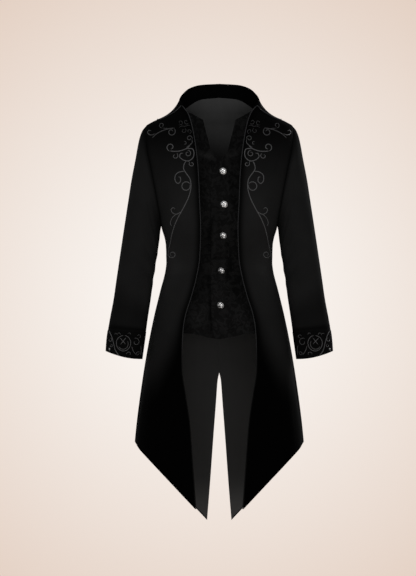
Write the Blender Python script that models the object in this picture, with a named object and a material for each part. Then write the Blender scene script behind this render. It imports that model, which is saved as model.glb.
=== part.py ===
"""An open tailcoat with a sewn-in waistcoat front, filled out as it is worn, with nobody in it.

Metres, +Z up. The front faces -Y and the wearer's left is +X. The origin is the middle of the
base of the neck, at the level of its side, where the wearer holds the coat up.

Every piece of cloth is a closed wall. The coat's body is one smooth surface, read at a height and
a turn, where turn 0 is the middle of the front or of the back and turn 1 is the wearer's side. The
panels are cut out of that surface along their seams, and the pieces on or under a panel are made
from its surface, moved out or in.
"""

import bisect
import math
from collections import namedtuple

import bmesh
import bpy
import numpy as np

# Cloth and fitting
COAT_CLOTH = 0.0022
COLLAR_CLOTH = 0.0024
CUFF_PROUD = 0.0008
WAISTCOAT_CLOTH = 0.0016
LINING_CLOTH = 0.0010
GAP = 0.0003
LINING_DEPTH = 0.0023  # from the coat's mid surface in to the lining's
LINING_SHORT = {"hem": 0.12, "side": 0.16, "armhole": 0.7, "top": 0.10}  # of the outermost square
NECK_LINING_DEPTH = 0.0025
WAISTCOAT_DEPTH = 0.0025  # the same where the coat's fronts cover the waistcoat
WAISTCOAT_SETBACK = 0.0050  # how much deeper its middle lies
LAP_STEP = 0.0020  # the right waistcoat front lies this much under the left one
WAISTCOAT_NECK = -0.139  # the bottom of its open neck
WAISTCOAT_TUCK = 0.0012  # how much deeper its collar lies, reached over the next length
WAISTCOAT_TUCK_OVER = 0.060
PIPING_RADIUS = 0.0013
PIPING_SHORT = 0.005  # how far below the collar's corner the front piping ends
SEAM_PIPING_SHARES = np.linspace(0.07, 0.92, 9)  # of the collar seam in front

FRONT = -1
BACK = 1
MITRE_LIMIT = 2.0  # how much longer than a plain normal a seam's may be

# Levels that the panels share
SHOULDER_TIP = -0.046
PIT = -0.302
SKIRT = -0.600  # below this level the rows run down to the pointed hem
VENT_TOP = -0.692
HEM_SIDE_HALF_WIDTH = 0.2195
HEM_SIDE = -0.880
HEM_SLOPE = 1.0635  # how far the hem drops for each unit that it runs inward
FRONT_POINT = -1.043
TAIL_POINT = -1.076

# The fullness is the exponent of the body's rounded section, where 2 is an ellipse
Section = namedtuple("Section", "height half_width front back fullness")
SECTIONS = (
    Section(0.012, 0.109, 0.053, 0.072, 2.3),
    Section(-0.010, 0.131, 0.068, 0.079, 2.3),
    Section(-0.028, 0.162, 0.079, 0.085, 2.3),
    Section(-0.037, 0.180, 0.084, 0.089, 2.3),
    Section(-0.046, 0.193, 0.089, 0.092, 2.3),
    Section(-0.100, 0.193, 0.108, 0.103, 2.3),
    Section(-0.170, 0.180, 0.120, 0.110, 2.3),
    Section(-0.240, 0.165, 0.126, 0.111, 2.3),
    Section(-0.302, 0.152, 0.126, 0.107, 2.3),
    Section(-0.343, 0.1415, 0.120, 0.102, 2.3),
    Section(-0.385, 0.1376, 0.114, 0.099, 2.3),
    Section(-0.422, 0.140, 0.112, 0.100, 2.3),
    Section(-0.474, 0.153, 0.115, 0.106, 2.25),
    Section(-0.527, 0.166, 0.119, 0.114, 2.2),
    Section(-0.600, 0.181, 0.123, 0.123, 2.1),
    Section(-0.710, 0.199, 0.127, 0.131, 2.0),
    Section(-0.867, 0.2195, 0.131, 0.140, 2.0),
    Section(-1.080, 0.236, 0.135, 0.150, 2.0),
)

# The armhole seam as the front shows it, and how far it reaches forward and back
ArmholeLine = namedtuple("ArmholeLine", "height side")
ARMHOLE = (
    ArmholeLine(-0.046, 0.193),
    ArmholeLine(-0.094, 0.192),
    ArmholeLine(-0.159, 0.180),
    ArmholeLine(-0.223, 0.167),
    ArmholeLine(-0.291, 0.1545),
    ArmholeLine(-0.302, 0.152),
)
ARMHOLE_REACH = {FRONT: 0.054, BACK: 0.056}
ARMHOLE_STEPS = 12  # from the tip of the shoulder to the pit

# The open edge of each front, measured to the outside of its piping
EdgeLine = namedtuple("EdgeLine", "height side")
FRONT_EDGE = (
    EdgeLine(0.0086, 0.097),
    EdgeLine(-0.012, 0.081),
    EdgeLine(-0.0375, 0.072),
    EdgeLine(-0.082, 0.063),
    EdgeLine(-0.137, 0.056),
    EdgeLine(-0.186, 0.0524),
    EdgeLine(-0.238, 0.0505),
    EdgeLine(-0.315, 0.0474),
    EdgeLine(-0.390, 0.050),
    EdgeLine(-0.443, 0.059),
    EdgeLine(-0.492, 0.072),
    EdgeLine(-0.540, 0.087),
    EdgeLine(-0.576, 0.093),
    EdgeLine(-0.618, 0.0955),
    EdgeLine(-0.679, 0.0964),
    EdgeLine(-0.752, 0.0865),
    EdgeLine(-0.825, 0.076),
    EdgeLine(-0.917, 0.069),
    EdgeLine(-1.043, 0.060),
)
VENT = (
    EdgeLine(-0.692, 0.0),
    EdgeLine(-0.710, 0.004),
    EdgeLine(-0.762, 0.008),
    EdgeLine(-0.867, 0.016),
    EdgeLine(-0.972, 0.0236),
    EdgeLine(-1.076, 0.032),
)

# The collar's lower seam: along the front from the corner to the shoulder, then from the middle
# of the back to the shoulder
SeamPlace = namedtuple("SeamPlace", "share side height")
COLLAR_SEAM = {
    FRONT: (
        SeamPlace(0.00, 0.0970, 0.0086),
        SeamPlace(0.25, 0.1140, -0.0080),
        SeamPlace(0.47, 0.1290, -0.0170),
        SeamPlace(0.67, 0.1435, -0.0250),
        SeamPlace(0.86, 0.1570, -0.0300),
        SeamPlace(1.00, 0.1630, -0.0285),
    ),
    BACK: (
        SeamPlace(0.00, 0.0000, -0.0080),
        SeamPlace(0.25, 0.0450, -0.0095),
        SeamPlace(0.50, 0.0880, -0.0140),
        SeamPlace(0.75, 0.1280, -0.0220),
        SeamPlace(0.90, 0.1520, -0.0275),
        SeamPlace(1.00, 0.1630, -0.0285),
    ),
}
# The collar's rim, from its front corner (0) past the shoulder (1) to the middle of the back (2)
RimPlace = namedtuple("RimPlace", "along side depth height")
COLLAR_RIM = (
    RimPlace(0.00, 0.0965, -0.034, 0.0145),
    RimPlace(0.30, 0.1010, -0.028, 0.0180),
    RimPlace(0.60, 0.1035, -0.014, 0.0240),
    RimPlace(1.00, 0.1010, 0.006, 0.0310),
    RimPlace(1.25, 0.0930, 0.026, 0.0415),
    RimPlace(1.50, 0.0780, 0.047, 0.0545),
    RimPlace(1.75, 0.0480, 0.064, 0.0640),
    RimPlace(2.00, 0.0000, 0.071, 0.0670),
)
COLLAR_COLUMNS = 22  # on each side, two for each column that a panel has along the seam
COLLAR_ROWS = 5
COLLAR_LEAN = 0.76  # how soon the collar's flare has drawn in to the rim
COLLAR_LIFT = 0.27  # and how much of its height it has risen by then
# Where the collar's black facing meets the grey lining, as a share of the collar's height
NeckLine = namedtuple("NeckLine", "along share")
NECK_LINE = (
    NeckLine(1.35, 0.20),
    NeckLine(1.50, 0.42),
    NeckLine(1.75, 0.59),
    NeckLine(2.00, 0.62),
)
NECK_LINING_START = 0.02
NECK_LINING_COLUMNS = 8
NECK_LINING_ROWS = 3

# The sleeve's outline as the front shows it: the outer line and the inner line
SleeveLine = namedtuple("SleeveLine", "height side")
SLEEVE_OUTER = (
    SleeveLine(-0.046, 0.193),
    SleeveLine(-0.060, 0.202),
    SleeveLine(-0.081, 0.209),
    SleeveLine(-0.134, 0.219),
    SleeveLine(-0.186, 0.229),
    SleeveLine(-0.238, 0.237),
    SleeveLine(-0.343, 0.253),
    SleeveLine(-0.448, 0.2685),
    SleeveLine(-0.500, 0.276),
    SleeveLine(-0.553, 0.286),
    SleeveLine(-0.605, 0.2940),
    SleeveLine(-0.634, 0.2960),
)
SLEEVE_INNER = (
    SleeveLine(-0.302, 0.152),
    SleeveLine(-0.317, 0.1552),
    SleeveLine(-0.343, 0.158),
    SleeveLine(-0.396, 0.166),
    SleeveLine(-0.448, 0.174),
    SleeveLine(-0.500, 0.181),
    SleeveLine(-0.553, 0.189),
    SleeveLine(-0.605, 0.196),
    SleeveLine(-0.655, 0.203),
)
# How deep the sleeve is from front to back, and how far its middle hangs forward
SleeveDepth = namedtuple("SleeveDepth", "along half_depth middle")
SLEEVE_DEPTHS = (
    SleeveDepth(0.00, 0.055, 0.001),
    SleeveDepth(0.20, 0.056, 0.002),
    SleeveDepth(0.45, 0.053, 0.001),
    SleeveDepth(0.70, 0.049, -0.007),
    SleeveDepth(1.00, 0.046, -0.018),
    SleeveDepth(1.12, 0.046, -0.022),
)
SLEEVE_SEGMENTS = 24
SLEEVE_RINGS = 13
SLEEVE_HEAD = 0.35  # the share of the sleeve over which the armhole's own shape fades
SLEEVE_END = {"outer": -0.580, "inner": -0.584}
CUFF_END = {"outer": -0.634, "inner": -0.655}
CUFF_ALONG = 1.12
CUFF_RINGS = 3

# Soft folds of the skirt: where each stands, how wide it is and how far out it is at the hem
Fold = namedtuple("Fold", "face turn width depth top")
FOLDS = (
    Fold(FRONT, 0.66, 0.27, 0.007, -0.46),
    Fold(BACK, 0.70, 0.25, 0.009, -0.44),
    Fold(BACK, 0.30, 0.21, 0.009, -0.52),
)
FOLD_FULL = -0.98  # the level at which a fold has its whole depth

COLUMNS = {FRONT: 8, BACK: 9}
SEAM_COLUMNS = {FRONT: 5, BACK: 6}  # how many of them run along the collar
TOP_ROWS = 6  # how many rows the shape of the top edge fades over
FAN = 1.5  # how the rows beside the armhole spread towards the middle
ROWS_BELOW_PIT = (-0.343, -0.385, -0.430, -0.485, -0.540)
SKIRT_SHARES = (0.0, 0.193, 0.31, 0.44, 0.58, 0.72, 0.86, 1.0)

# The waistcoat
WAISTCOAT_OVERLAP = 0.027  # how far it runs on under the coat's front
WAISTCOAT_COLUMNS = 8
WAISTCOAT_LEVELS = {"highest": -0.15, "lowest": -0.57}  # of the rows it shares with the coat's front
WaistcoatEnd = namedtuple("WaistcoatEnd", "side top bottom")
WAISTCOAT_ENDS = (
    WaistcoatEnd(0.0000, -0.1390, -0.602),
    WaistcoatEnd(0.0110, -0.1270, -0.601),
    WaistcoatEnd(0.0215, -0.1120, -0.599),
    WaistcoatEnd(0.0300, -0.1095, -0.598),
    WaistcoatEnd(0.053, -0.105, -0.592),
    WaistcoatEnd(0.080, -0.094, -0.588),
    WaistcoatEnd(0.130, -0.090, -0.587),
)
LapLine = namedtuple("LapLine", "height over under")
LAP = (
    LapLine(-0.139, 0.0008, 0.0008),
    LapLine(-0.160, -0.012, 0.008),
    LapLine(-0.220, -0.021, 0.012),
    LapLine(-0.283, -0.022, 0.012),
    LapLine(-0.560, -0.022, 0.012),
    LapLine(-0.602, -0.012, 0.012),
)
LAP_FADE = 0.016
COLLAR_START = 0.0215  # how far from the middle the collar's seam starts
COLLAR_POINT = np.array((0.043, -0.026))  # side and height of the collar's cut-away corner
COLLAR_OUTER_TOP = np.array((0.0925, 0.000))  # and of its other end, under the coat
WAISTCOAT_COLLAR_ROWS = 4
BUTTON_RADIUS = 0.0095
# The lift clears the cloth, which is hollow at the waist, under the button's flat back
ButtonPlace = namedtuple("ButtonPlace", "side height lift")
BUTTONS = (
    ButtonPlace(0.009, -0.164, 0.0005),
    ButtonPlace(0.012, -0.251, 0.0005),
    ButtonPlace(0.009, -0.334, 0.0006),
    ButtonPlace(0.004, -0.425, 0.0011),
    ButtonPlace(0.002, -0.515, 0.0006),
)
# A button's outline from its back edge in to its crown, as shares of its radius
ButtonRing = namedtuple("ButtonRing", "reach rise")
BUTTON_RINGS = (
    ButtonRing(1.00, 0.00),
    ButtonRing(1.00, 0.13),
    ButtonRing(0.93, 0.20),
    ButtonRing(0.80, 0.17),
    ButtonRing(0.55, 0.32),
    ButtonRing(0.28, 0.40),
)
BUTTON_CROWN = 0.43
BUTTON_SEGMENTS = 16
CUFF_BUTTON_RADIUS = 0.0055
CUFF_BUTTON_ANGLE = 37.5
CUFF_BUTTON_SHARE = 0.90

Finish = namedtuple("Finish", "colour roughness metallic")
FINISHES = {
    "coat_cloth": Finish((0.008, 0.008, 0.009), 0.85, 0.0),
    "collar_cloth": Finish((0.005, 0.005, 0.006), 0.85, 0.0),
    "cuff_cloth": Finish((0.007, 0.007, 0.008), 0.80, 0.0),
    "waistcoat_brocade": Finish((0.004, 0.004, 0.005), 0.70, 0.0),
    "lining_satin": Finish((0.022, 0.022, 0.022), 0.45, 0.0),
    "piping_cord": Finish((0.055, 0.055, 0.057), 0.60, 0.0),
    "button_metal": Finish((0.50, 0.51, 0.50), 0.30, 1.0),
}


class Curve:
    """A smooth curve through one column of a table, with no overshoot between the rows."""

    def __init__(self, table, column, key="height"):
        rows = sorted(table, key=lambda row: getattr(row, key))
        self.at = [getattr(row, key) for row in rows]
        self.values = [getattr(row, column) for row in rows]
        steps = [b - a for a, b in zip(self.at, self.at[1:])]
        rises = [(b - a) / s for a, b, s in zip(self.values, self.values[1:], steps)]
        inner = [2 * p * q / (p + q) if p * q > 0 else 0.0 for p, q in zip(rises, rises[1:])]
        self.slopes = [rises[0], *inner, rises[-1]]

    def __call__(self, x):
        x = min(max(x, self.at[0]), self.at[-1])
        i = min(bisect.bisect_right(self.at, x), len(self.at) - 1) - 1
        step = self.at[i + 1] - self.at[i]
        t = (x - self.at[i]) / step
        start = (1 + 2 * t) * (1 - t) ** 2 * self.values[i] + t * (1 - t) ** 2 * step * self.slopes[i]
        end = t * t * (3 - 2 * t) * self.values[i + 1] - t * t * (1 - t) * step * self.slopes[i + 1]
        return start + end


section_half_width = Curve(SECTIONS, "half_width")
section_fullness = Curve(SECTIONS, "fullness")
section_depth = {FRONT: Curve(SECTIONS, "front"), BACK: Curve(SECTIONS, "back")}
armhole_side = Curve(ARMHOLE, "side")
front_edge_side = Curve(FRONT_EDGE, "side")
vent_side = Curve(VENT, "side")
waistcoat_top = Curve(WAISTCOAT_ENDS, "top", "side")
waistcoat_hem = Curve(WAISTCOAT_ENDS, "bottom", "side")
lap_over = Curve(LAP, "over")
lap_under = Curve(LAP, "under")


def unit(vector):
    return vector / np.linalg.norm(vector)


def ease(share):
    """0 below 0, 1 above 1 and a soft step between."""
    share = min(max(share, 0.0), 1.0)
    return share * share * (3 - 2 * share)


def signed_power(value, power):
    return math.copysign(abs(value) ** power, value)


def armhole_reach(height, face):
    """How far the armhole opens forward or back from the side line at a height."""
    if not PIT < height < SHOULDER_TIP:
        return 0.0
    cosine = 2 * (height - PIT) / (SHOULDER_TIP - PIT) - 1
    return ARMHOLE_REACH[face] * math.sqrt(max(0.0, 1 - cosine * cosine))


def half_width(height, face):
    """The body's half width, which beside the armhole follows from that seam."""
    if not PIT < height < SHOULDER_TIP:
        return section_half_width(height)
    fullness = section_fullness(height)
    reach = (armhole_reach(height, face) / section_depth[face](height)) ** fullness
    return armhole_side(height) / (1 - reach) ** (1 / fullness)


def fold_lift(height, turn, face):
    """How far the skirt's folds stand out at a place."""
    lift = 0.0
    for fold in FOLDS:
        off = abs(turn - fold.turn) / fold.width
        if fold.face == face and off < 1:
            growth = ease((fold.top - height) / (fold.top - FOLD_FULL))
            lift += fold.depth * growth * math.cos(off * math.pi / 2) ** 2
    return lift


def body_point(height, turn, face):
    """A point of the coat's mid surface on the wearer's left."""
    angle = turn * math.pi / 2
    power = 2 / section_fullness(height)
    lift = fold_lift(height, turn, face)
    x = half_width(height, face) * signed_power(math.sin(angle), power) + lift * math.sin(angle)
    y = section_depth[face](height) * signed_power(math.cos(angle), power) + lift * math.cos(angle)
    return np.array((x, face * y, height))


def body_normal(height, turn, face):
    """The outward normal of the coat's mid surface."""
    step = 0.002
    across = body_point(height, turn + step, face) - body_point(height, turn - step, face)
    up = body_point(height + step, turn, face) - body_point(height - step, turn, face)
    normal = unit(np.cross(across, up))
    outward = body_point(height, turn, face) * (1, 1, 0)
    return normal if normal @ outward > 0 else -normal


def turn_at(side, height, face):
    """The turn at which the body surface is this far from the middle, seen from the front."""
    share = min(abs(side) / half_width(height, face), 1.0)
    return math.copysign(math.asin(share ** (section_fullness(height) / 2)) / (math.pi / 2), side)


def side_turn(height, face):
    """The turn of a panel's outer edge: the armhole, or the side line."""
    reach = armhole_reach(height, face) / section_depth[face](height)
    return math.acos(reach ** (section_fullness(height) / 2)) / (math.pi / 2)


def armhole_height(step):
    """The level of each point of the armhole, from the tip (0) to the pit."""
    return PIT + (SHOULDER_TIP - PIT) * (1 + math.cos(math.pi * step / ARMHOLE_STEPS)) / 2


def armhole_point(step):
    """A point of the armhole seam: forward to the pit, then back to the tip."""
    face = FRONT if step <= ARMHOLE_STEPS else BACK
    height = armhole_height(min(step, 2 * ARMHOLE_STEPS - step))
    return np.array((armhole_side(height), face * armhole_reach(height, face), height))


def front_edge_turn(height):
    """The cut edge of a front, which leaves room for its piping."""
    return turn_at(front_edge_side(height) + 2 * PIPING_RADIUS + GAP, height, FRONT)


def back_edge_turn(height):
    """The middle of the back, and below it the edge of the vent."""
    return turn_at(vent_side(height), height, BACK) if height < VENT_TOP else 0.0


def seam_place(share, face):
    """A place, as height and turn, on the collar's lower seam."""
    table = COLLAR_SEAM[face]
    height = Curve(table, "height", "share")(share)
    if share >= 1:
        return height, 1.0
    return height, turn_at(Curve(table, "side", "share")(share), height, face)


def top_place(share, face):
    """A place on a panel's top edge: the collar seam, and then the shoulder seam."""
    along = SEAM_COLUMNS[face] / COLUMNS[face]
    if share <= along:
        return seam_place(share / along, face)
    ridge = seam_place(1, face)[0]
    return ridge + (SHOULDER_TIP - ridge) * (share - along) / (1 - along), 1.0


def hem_height(turn, face):
    """The pointed hem, straight as the front shows it and soft where it turns the side."""
    height = HEM_SIDE
    for _ in range(8):
        side = min(body_point(height, turn, face)[0], HEM_SIDE_HALF_WIDTH)
        height = HEM_SIDE - (HEM_SIDE_HALF_WIDTH - side) * HEM_SLOPE
    return height


def panel_places(face, edge_turn, point_height):
    """The height and turn of each grid point of a coat panel, from its top edge to its hem."""
    shares = np.linspace(0, 1, COLUMNS[face] + 1)
    top = np.array([top_place(share, face) for share in shares])
    rows = []
    for step in range(ARMHOLE_STEPS + 1):
        side_height = armhole_height(step)
        fan = (1 - step / ARMHOLE_STEPS) ** FAN
        centre_height = side_height + (top[0, 0] - SHOULDER_TIP) * fan
        heights = side_height + (centre_height - side_height) * (1 - shares) ** FAN
        start = edge_turn(centre_height) if step else top[0, 1]
        turns = start + (side_turn(side_height, face) - start) * shares
        row = np.stack((heights, turns), axis=1)
        if step == 0:
            shape = top - row
        row = row + shape * max(0.0, 1 - step / TOP_ROWS) ** 2
        rows.append(row)
    for height in ROWS_BELOW_PIT:
        start = edge_turn(height)
        rows.append(np.array([(height, start + (1 - start) * share) for share in shares]))
    hem_start = edge_turn(point_height)
    hem = [hem_height(hem_start + (1 - hem_start) * share, face) for share in shares]
    for skirt_share in SKIRT_SHARES:
        heights = [SKIRT + (height - SKIRT) * skirt_share for height in hem]
        start = edge_turn(heights[0])
        rows.append(np.array([(h, start + (1 - start) * s) for h, s in zip(heights, shares)]))
    return np.array(rows)


def on_body(places, face):
    """The points of the coat's mid surface at these places, and their normals."""
    points = np.array([[body_point(h, t, face) for h, t in row] for row in places])
    normals = np.array([[body_normal(h, t, face) for h, t in row] for row in places])
    return points, normals


def grid_normals(points, middle, closed=False):
    """Outward normals of a grid, away from middle, an array with one row for each grid row."""
    if closed:
        across = np.roll(points, -1, axis=1) - np.roll(points, 1, axis=1)
    else:
        across = np.gradient(points, axis=1)
    along = np.gradient(points, axis=0)
    normals = np.cross(across, along)
    normals /= np.linalg.norm(normals, axis=2, keepdims=True)
    outward = np.sum(normals * (points - middle[:, None, :]))
    return normals if outward > 0 else -normals


def seam_normals(first, second):
    """Shared normals for two walls that meet at an angle, long enough to keep both thick."""
    mean = (first + second) / 2
    length = np.linalg.norm(mean, axis=-1, keepdims=True)
    return mean / length / np.maximum(length, 1 / MITRE_LIMIT)


def pull_back(points, edge, inner, distance=GAP / 2):
    """Moves an edge of a grid towards its inner neighbours by half of the seam's gap."""
    step = points[inner] - points[edge]
    points[edge] += step / np.linalg.norm(step, axis=-1, keepdims=True) * distance


def new_object(name, mesh, finish):
    """Adds a mesh or curve with a material of its own."""
    material = bpy.data.materials.new(f"{finish}_{name}")
    material.use_nodes = True
    shader = material.node_tree.nodes["Principled BSDF"]
    shader.inputs["Base Color"].default_value = (*FINISHES[finish].colour, 1)
    shader.inputs["Roughness"].default_value = FINISHES[finish].roughness
    shader.inputs["Metallic"].default_value = FINISHES[finish].metallic
    mesh.materials.append(material)
    piece = bpy.data.objects.new(name, mesh)
    bpy.context.scene.collection.objects.link(piece)
    return piece


def solid(name, points, faces, finish):
    """A closed body from its points and faces, with all faces turned out."""
    body = bmesh.new()
    corners = [body.verts.new(point) for point in points]
    for face in faces:
        body.faces.new([corners[i] for i in face])
    bmesh.ops.recalc_face_normals(body, faces=body.faces)
    mesh = bpy.data.meshes.new(name)
    body.to_mesh(mesh)
    body.free()
    mesh.shade_smooth()
    mesh.set_sharp_from_angle(angle=math.radians(40))
    return new_object(name, mesh, finish)


def wall(name, outside, inside, finish, closed=False):
    """A cloth wall between two grids of points, open at its edges or closed into a tube.

    Each grid square is split the same way, so that walls laid over each other stay parallel.
    """
    rows, columns = outside.shape[:2]
    points = np.concatenate((outside.reshape(-1, 3), inside.reshape(-1, 3)))
    under = rows * columns
    faces = []
    for i in range(rows - 1):
        for j in range(columns if closed else columns - 1):
            k = (j + 1) % columns
            a, b = i * columns + j, i * columns + k
            c, d = (i + 1) * columns + k, (i + 1) * columns + j
            for half in ((a, b, c), (a, c, d)):
                faces.append(half)
                faces.append(tuple(corner + under for corner in reversed(half)))
    rim = []
    across = [(j, (j + 1) % columns) for j in range(columns if closed else columns - 1)]
    for j, k in across:
        rim.append((j, k))
        rim.append(((rows - 1) * columns + j, (rows - 1) * columns + k))
    if not closed:
        for i in range(rows - 1):
            rim.append((i * columns, (i + 1) * columns))
            rim.append((i * columns + columns - 1, (i + 2) * columns - 1))
    faces += [(a, b, b + under, a + under) for a, b in rim]
    return solid(name, points, faces, finish)


def both_sides(name, outside, inside, finish, closed=False):
    """The same piece for the wearer's left, and mirrored for the right."""
    wall(f"{name}_left", outside, inside, finish, closed)
    mirror = np.array((-1, 1, 1))
    wall(f"{name}_right", outside * mirror, inside * mirror, finish, closed)


def cord(name, points, finish):
    """A round cord along its points, with closed ends."""
    curve = bpy.data.curves.new(name, "CURVE")
    curve.dimensions = "3D"
    curve.bevel_depth = PIPING_RADIUS
    curve.bevel_resolution = 1
    curve.use_fill_caps = True
    line = curve.splines.new("POLY")
    line.points.add(len(points) - 1)
    for target, point in zip(line.points, points):
        target.co = (*point, 1)
    return new_object(name, curve, finish)


def coat_panel(face, places):
    """The wall of one coat panel, with its edges set back from the seams."""
    points, normals = on_body(places, face)
    along = ARMHOLE_STEPS + 1
    seam = armhole_seam()
    pull_back(points, (0,), (1,))
    if face == BACK:
        pull_back(points, (slice(None), 0), (slice(None), 1))
    points[ARMHOLE_STEPS:, -1, 1] += face * GAP / 2
    chosen = slice(0, along) if face == FRONT else slice(2 * ARMHOLE_STEPS, ARMHOLE_STEPS - 1, -1)
    points[:along, -1] -= seam["across"][chosen] * GAP / 2
    shared = normals.copy()
    shared[:along, -1] = seam["normals"][chosen]
    shared[0, : SEAM_COLUMNS[face] + 1] = collar_seam_normals(face)
    half = shared * COAT_CLOTH / 2
    both_sides("front" if face == FRONT else "back", points + half, points - half, "coat_cloth")
    return points, normals


def sleeve_rings():
    """The mid surface of the left sleeve from the armhole seam to the cuff."""
    loop = np.array([armhole_point(step) for step in range(SLEEVE_SEGMENTS)])
    first = sleeve_ring(0.0)
    rings = []
    for ring in range(SLEEVE_RINGS + 1):
        along = ring / SLEEVE_RINGS
        fade = max(0.0, 1 - along / SLEEVE_HEAD) ** 2
        rings.append(sleeve_ring(along) + (loop - first) * fade)
    return np.array(rings)


def sleeve_ring(along):
    """One oval ring of the sleeve, or past its end of the cuff."""
    if along <= 1:
        heights = [
            SHOULDER_TIP + (SLEEVE_END["outer"] - SHOULDER_TIP) * along,
            PIT + (SLEEVE_END["inner"] - PIT) * along,
        ]
    else:
        share = (along - 1) / (CUFF_ALONG - 1)
        heights = [SLEEVE_END[k] + (CUFF_END[k] - SLEEVE_END[k]) * share for k in ("outer", "inner")]
    outer = np.array((Curve(SLEEVE_OUTER, "side")(heights[0]), 0, heights[0]))
    inner = np.array((Curve(SLEEVE_INNER, "side")(heights[1]), 0, heights[1]))
    half_depth = Curve(SLEEVE_DEPTHS, "half_depth", "along")(along)
    middle = (outer + inner) / 2 + (0, Curve(SLEEVE_DEPTHS, "middle", "along")(along), 0)
    angles = np.linspace(0, 2 * math.pi, SLEEVE_SEGMENTS, endpoint=False)
    reach = np.outer(np.cos(angles), (outer - inner) / 2)
    depth = np.outer(np.sin(angles), (0, -half_depth, 0))
    return middle + reach + depth


def armhole_seam():
    """What the sleeve and the two panels share along the armhole, from tip round to tip."""
    rings = sleeve_rings()
    sleeve = grid_normals(rings, rings.mean(axis=1), closed=True)[0]
    sleeve = np.concatenate((sleeve, sleeve[:1]))
    panel = []
    for step in range(2 * ARMHOLE_STEPS + 1):
        face = FRONT if step <= ARMHOLE_STEPS else BACK
        height = armhole_height(min(step, 2 * ARMHOLE_STEPS - step))
        panel.append(body_normal(height, side_turn(height, face), face))
    normals = seam_normals(np.array(panel), sleeve)
    loop = np.concatenate((rings[0], rings[0][:1]))
    tangents = np.gradient(loop, axis=0)
    tangents[0] = tangents[-1] = loop[1] - loop[-2]
    across = np.cross(tangents, normals)
    across /= np.linalg.norm(across, axis=1, keepdims=True)
    outward = rings[1].mean(axis=0) - rings[0].mean(axis=0)
    if np.sum(across @ outward) < 0:
        across = -across
    return {"normals": normals, "across": across}


def make_sleeves_and_cuffs():
    rings = sleeve_rings()
    middles = rings.mean(axis=1)
    normals = grid_normals(rings, middles, closed=True)
    seam = armhole_seam()
    normals[0] = seam["normals"][:-1]
    rings[0] += seam["across"][:-1] * GAP / 2
    cuff_alongs = np.linspace(1, CUFF_ALONG, CUFF_RINGS + 1)
    cuff = np.array([sleeve_ring(along) for along in cuff_alongs])
    cuff_normals = grid_normals(cuff, cuff.mean(axis=1), closed=True)
    normals[-1] = cuff_normals[0]
    pull_back(rings, (-1,), (-2,))
    pull_back(cuff, (0,), (1,))
    half = COAT_CLOTH / 2
    both_sides("sleeve", rings + normals * half, rings - normals * half, "coat_cloth", closed=True)
    outside = cuff + cuff_normals * (half + CUFF_PROUD)
    both_sides("cuff", outside, cuff - cuff_normals * half, "cuff_cloth", closed=True)
    make_cuff_buttons(outside)


def make_cuff_buttons(cuff_outside):
    """One button near the lower edge of each cuff, on its outer front."""
    place = CUFF_BUTTON_ANGLE / 360 * SLEEVE_SEGMENTS
    low, high = math.floor(place), math.ceil(place)
    upper = (cuff_outside[-2, low] + cuff_outside[-2, high]) / 2
    lower = (cuff_outside[-1, low] + cuff_outside[-1, high]) / 2
    share = 1 - (1 - CUFF_BUTTON_SHARE) * CUFF_RINGS
    centre = upper + (lower - upper) * share
    normal = unit(np.cross(lower - upper, cuff_outside[-1, high] - cuff_outside[-1, low]))
    normal = normal if normal[1] < 0 else -normal
    for side, name in ((1, "cuff_button_left"), (-1, "cuff_button_right")):
        mirror = np.array((side, 1, 1))
        button(name, (centre + normal * GAP) * mirror, normal * mirror, CUFF_BUTTON_RADIUS)


def collar_alongs():
    """Where the collar's columns stand, from its left corner (0) to the middle of the back (2)."""
    front = np.linspace(0, 1, 2 * SEAM_COLUMNS[FRONT] + 1)
    back = np.linspace(1, 2, 2 * SEAM_COLUMNS[BACK] + 1)
    return np.concatenate((front, back[1:]))


def straighten_seam(row):
    """Sets every other point half way between its neighbours, as the panels' edges run."""
    row[1:-1:2] = (row[:-2:2] + row[2::2]) / 2


def collar_grid():
    """The collar's mid surface from the left corner round the back to the right corner."""
    left = np.array([collar_profile(along) for along in collar_alongs()]).transpose(1, 0, 2)
    right = left[:, -2::-1] * (-1, 1, 1)
    return np.concatenate((left, right), axis=1)


def collar_seam_point(along):
    face, share = (FRONT, along) if along <= 1 else (BACK, 2 - along)
    return body_point(*seam_place(share, face), face)


def collar_profile(along, shares=None):
    """The collar's hollow curve from its lower seam (0) to its rim (1) at one place along it."""
    seam = collar_seam_point(along)
    rim = np.array([Curve(COLLAR_RIM, column, "along")(along) for column in RimPlace._fields[1:]])
    pull = seam + (rim - seam) * (COLLAR_LEAN, COLLAR_LEAN, COLLAR_LIFT)
    shares = np.linspace(0, 1, COLLAR_ROWS + 1) if shares is None else np.asarray(shares)
    t = shares[:, None]
    return (1 - t) ** 2 * seam + 2 * t * (1 - t) * pull + t * t * rim


def collar_walls():
    """The collar's mid surface and its normals, which at the seam suit the panels too."""
    grid = collar_grid()
    middle = np.zeros((COLLAR_ROWS + 1, 3))
    middle[:, 2] = grid[:, :, 2].mean(axis=1)
    normals = grid_normals(grid, middle)
    body = np.array([collar_body_normal(along) for along in collar_alongs()])
    body = np.concatenate((body, body[-2::-1] * (-1, 1, 1)))
    normals[0] = seam_normals(normals[0], body)
    straighten_seam(normals[0])
    straighten_seam(grid[0])
    return grid, normals


def collar_body_normal(along):
    face, share = (FRONT, along) if along <= 1 else (BACK, 2 - along)
    return body_normal(*seam_place(share, face), face)


def collar_seam_normals(face):
    """The collar's seam normals at a panel's own columns, from the middle to the shoulder."""
    normals = collar_walls()[1][0, : COLLAR_COLUMNS + 1 : 2]
    shoulder = SEAM_COLUMNS[FRONT]
    return normals[: shoulder + 1] if face == FRONT else normals[shoulder:][::-1]


def make_collar():
    grid, normals = collar_walls()
    pull_back(grid, (0,), (1,))
    half = normals * COLLAR_CLOTH / 2
    wall("collar", grid + half, grid - half, "collar_cloth")


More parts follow.
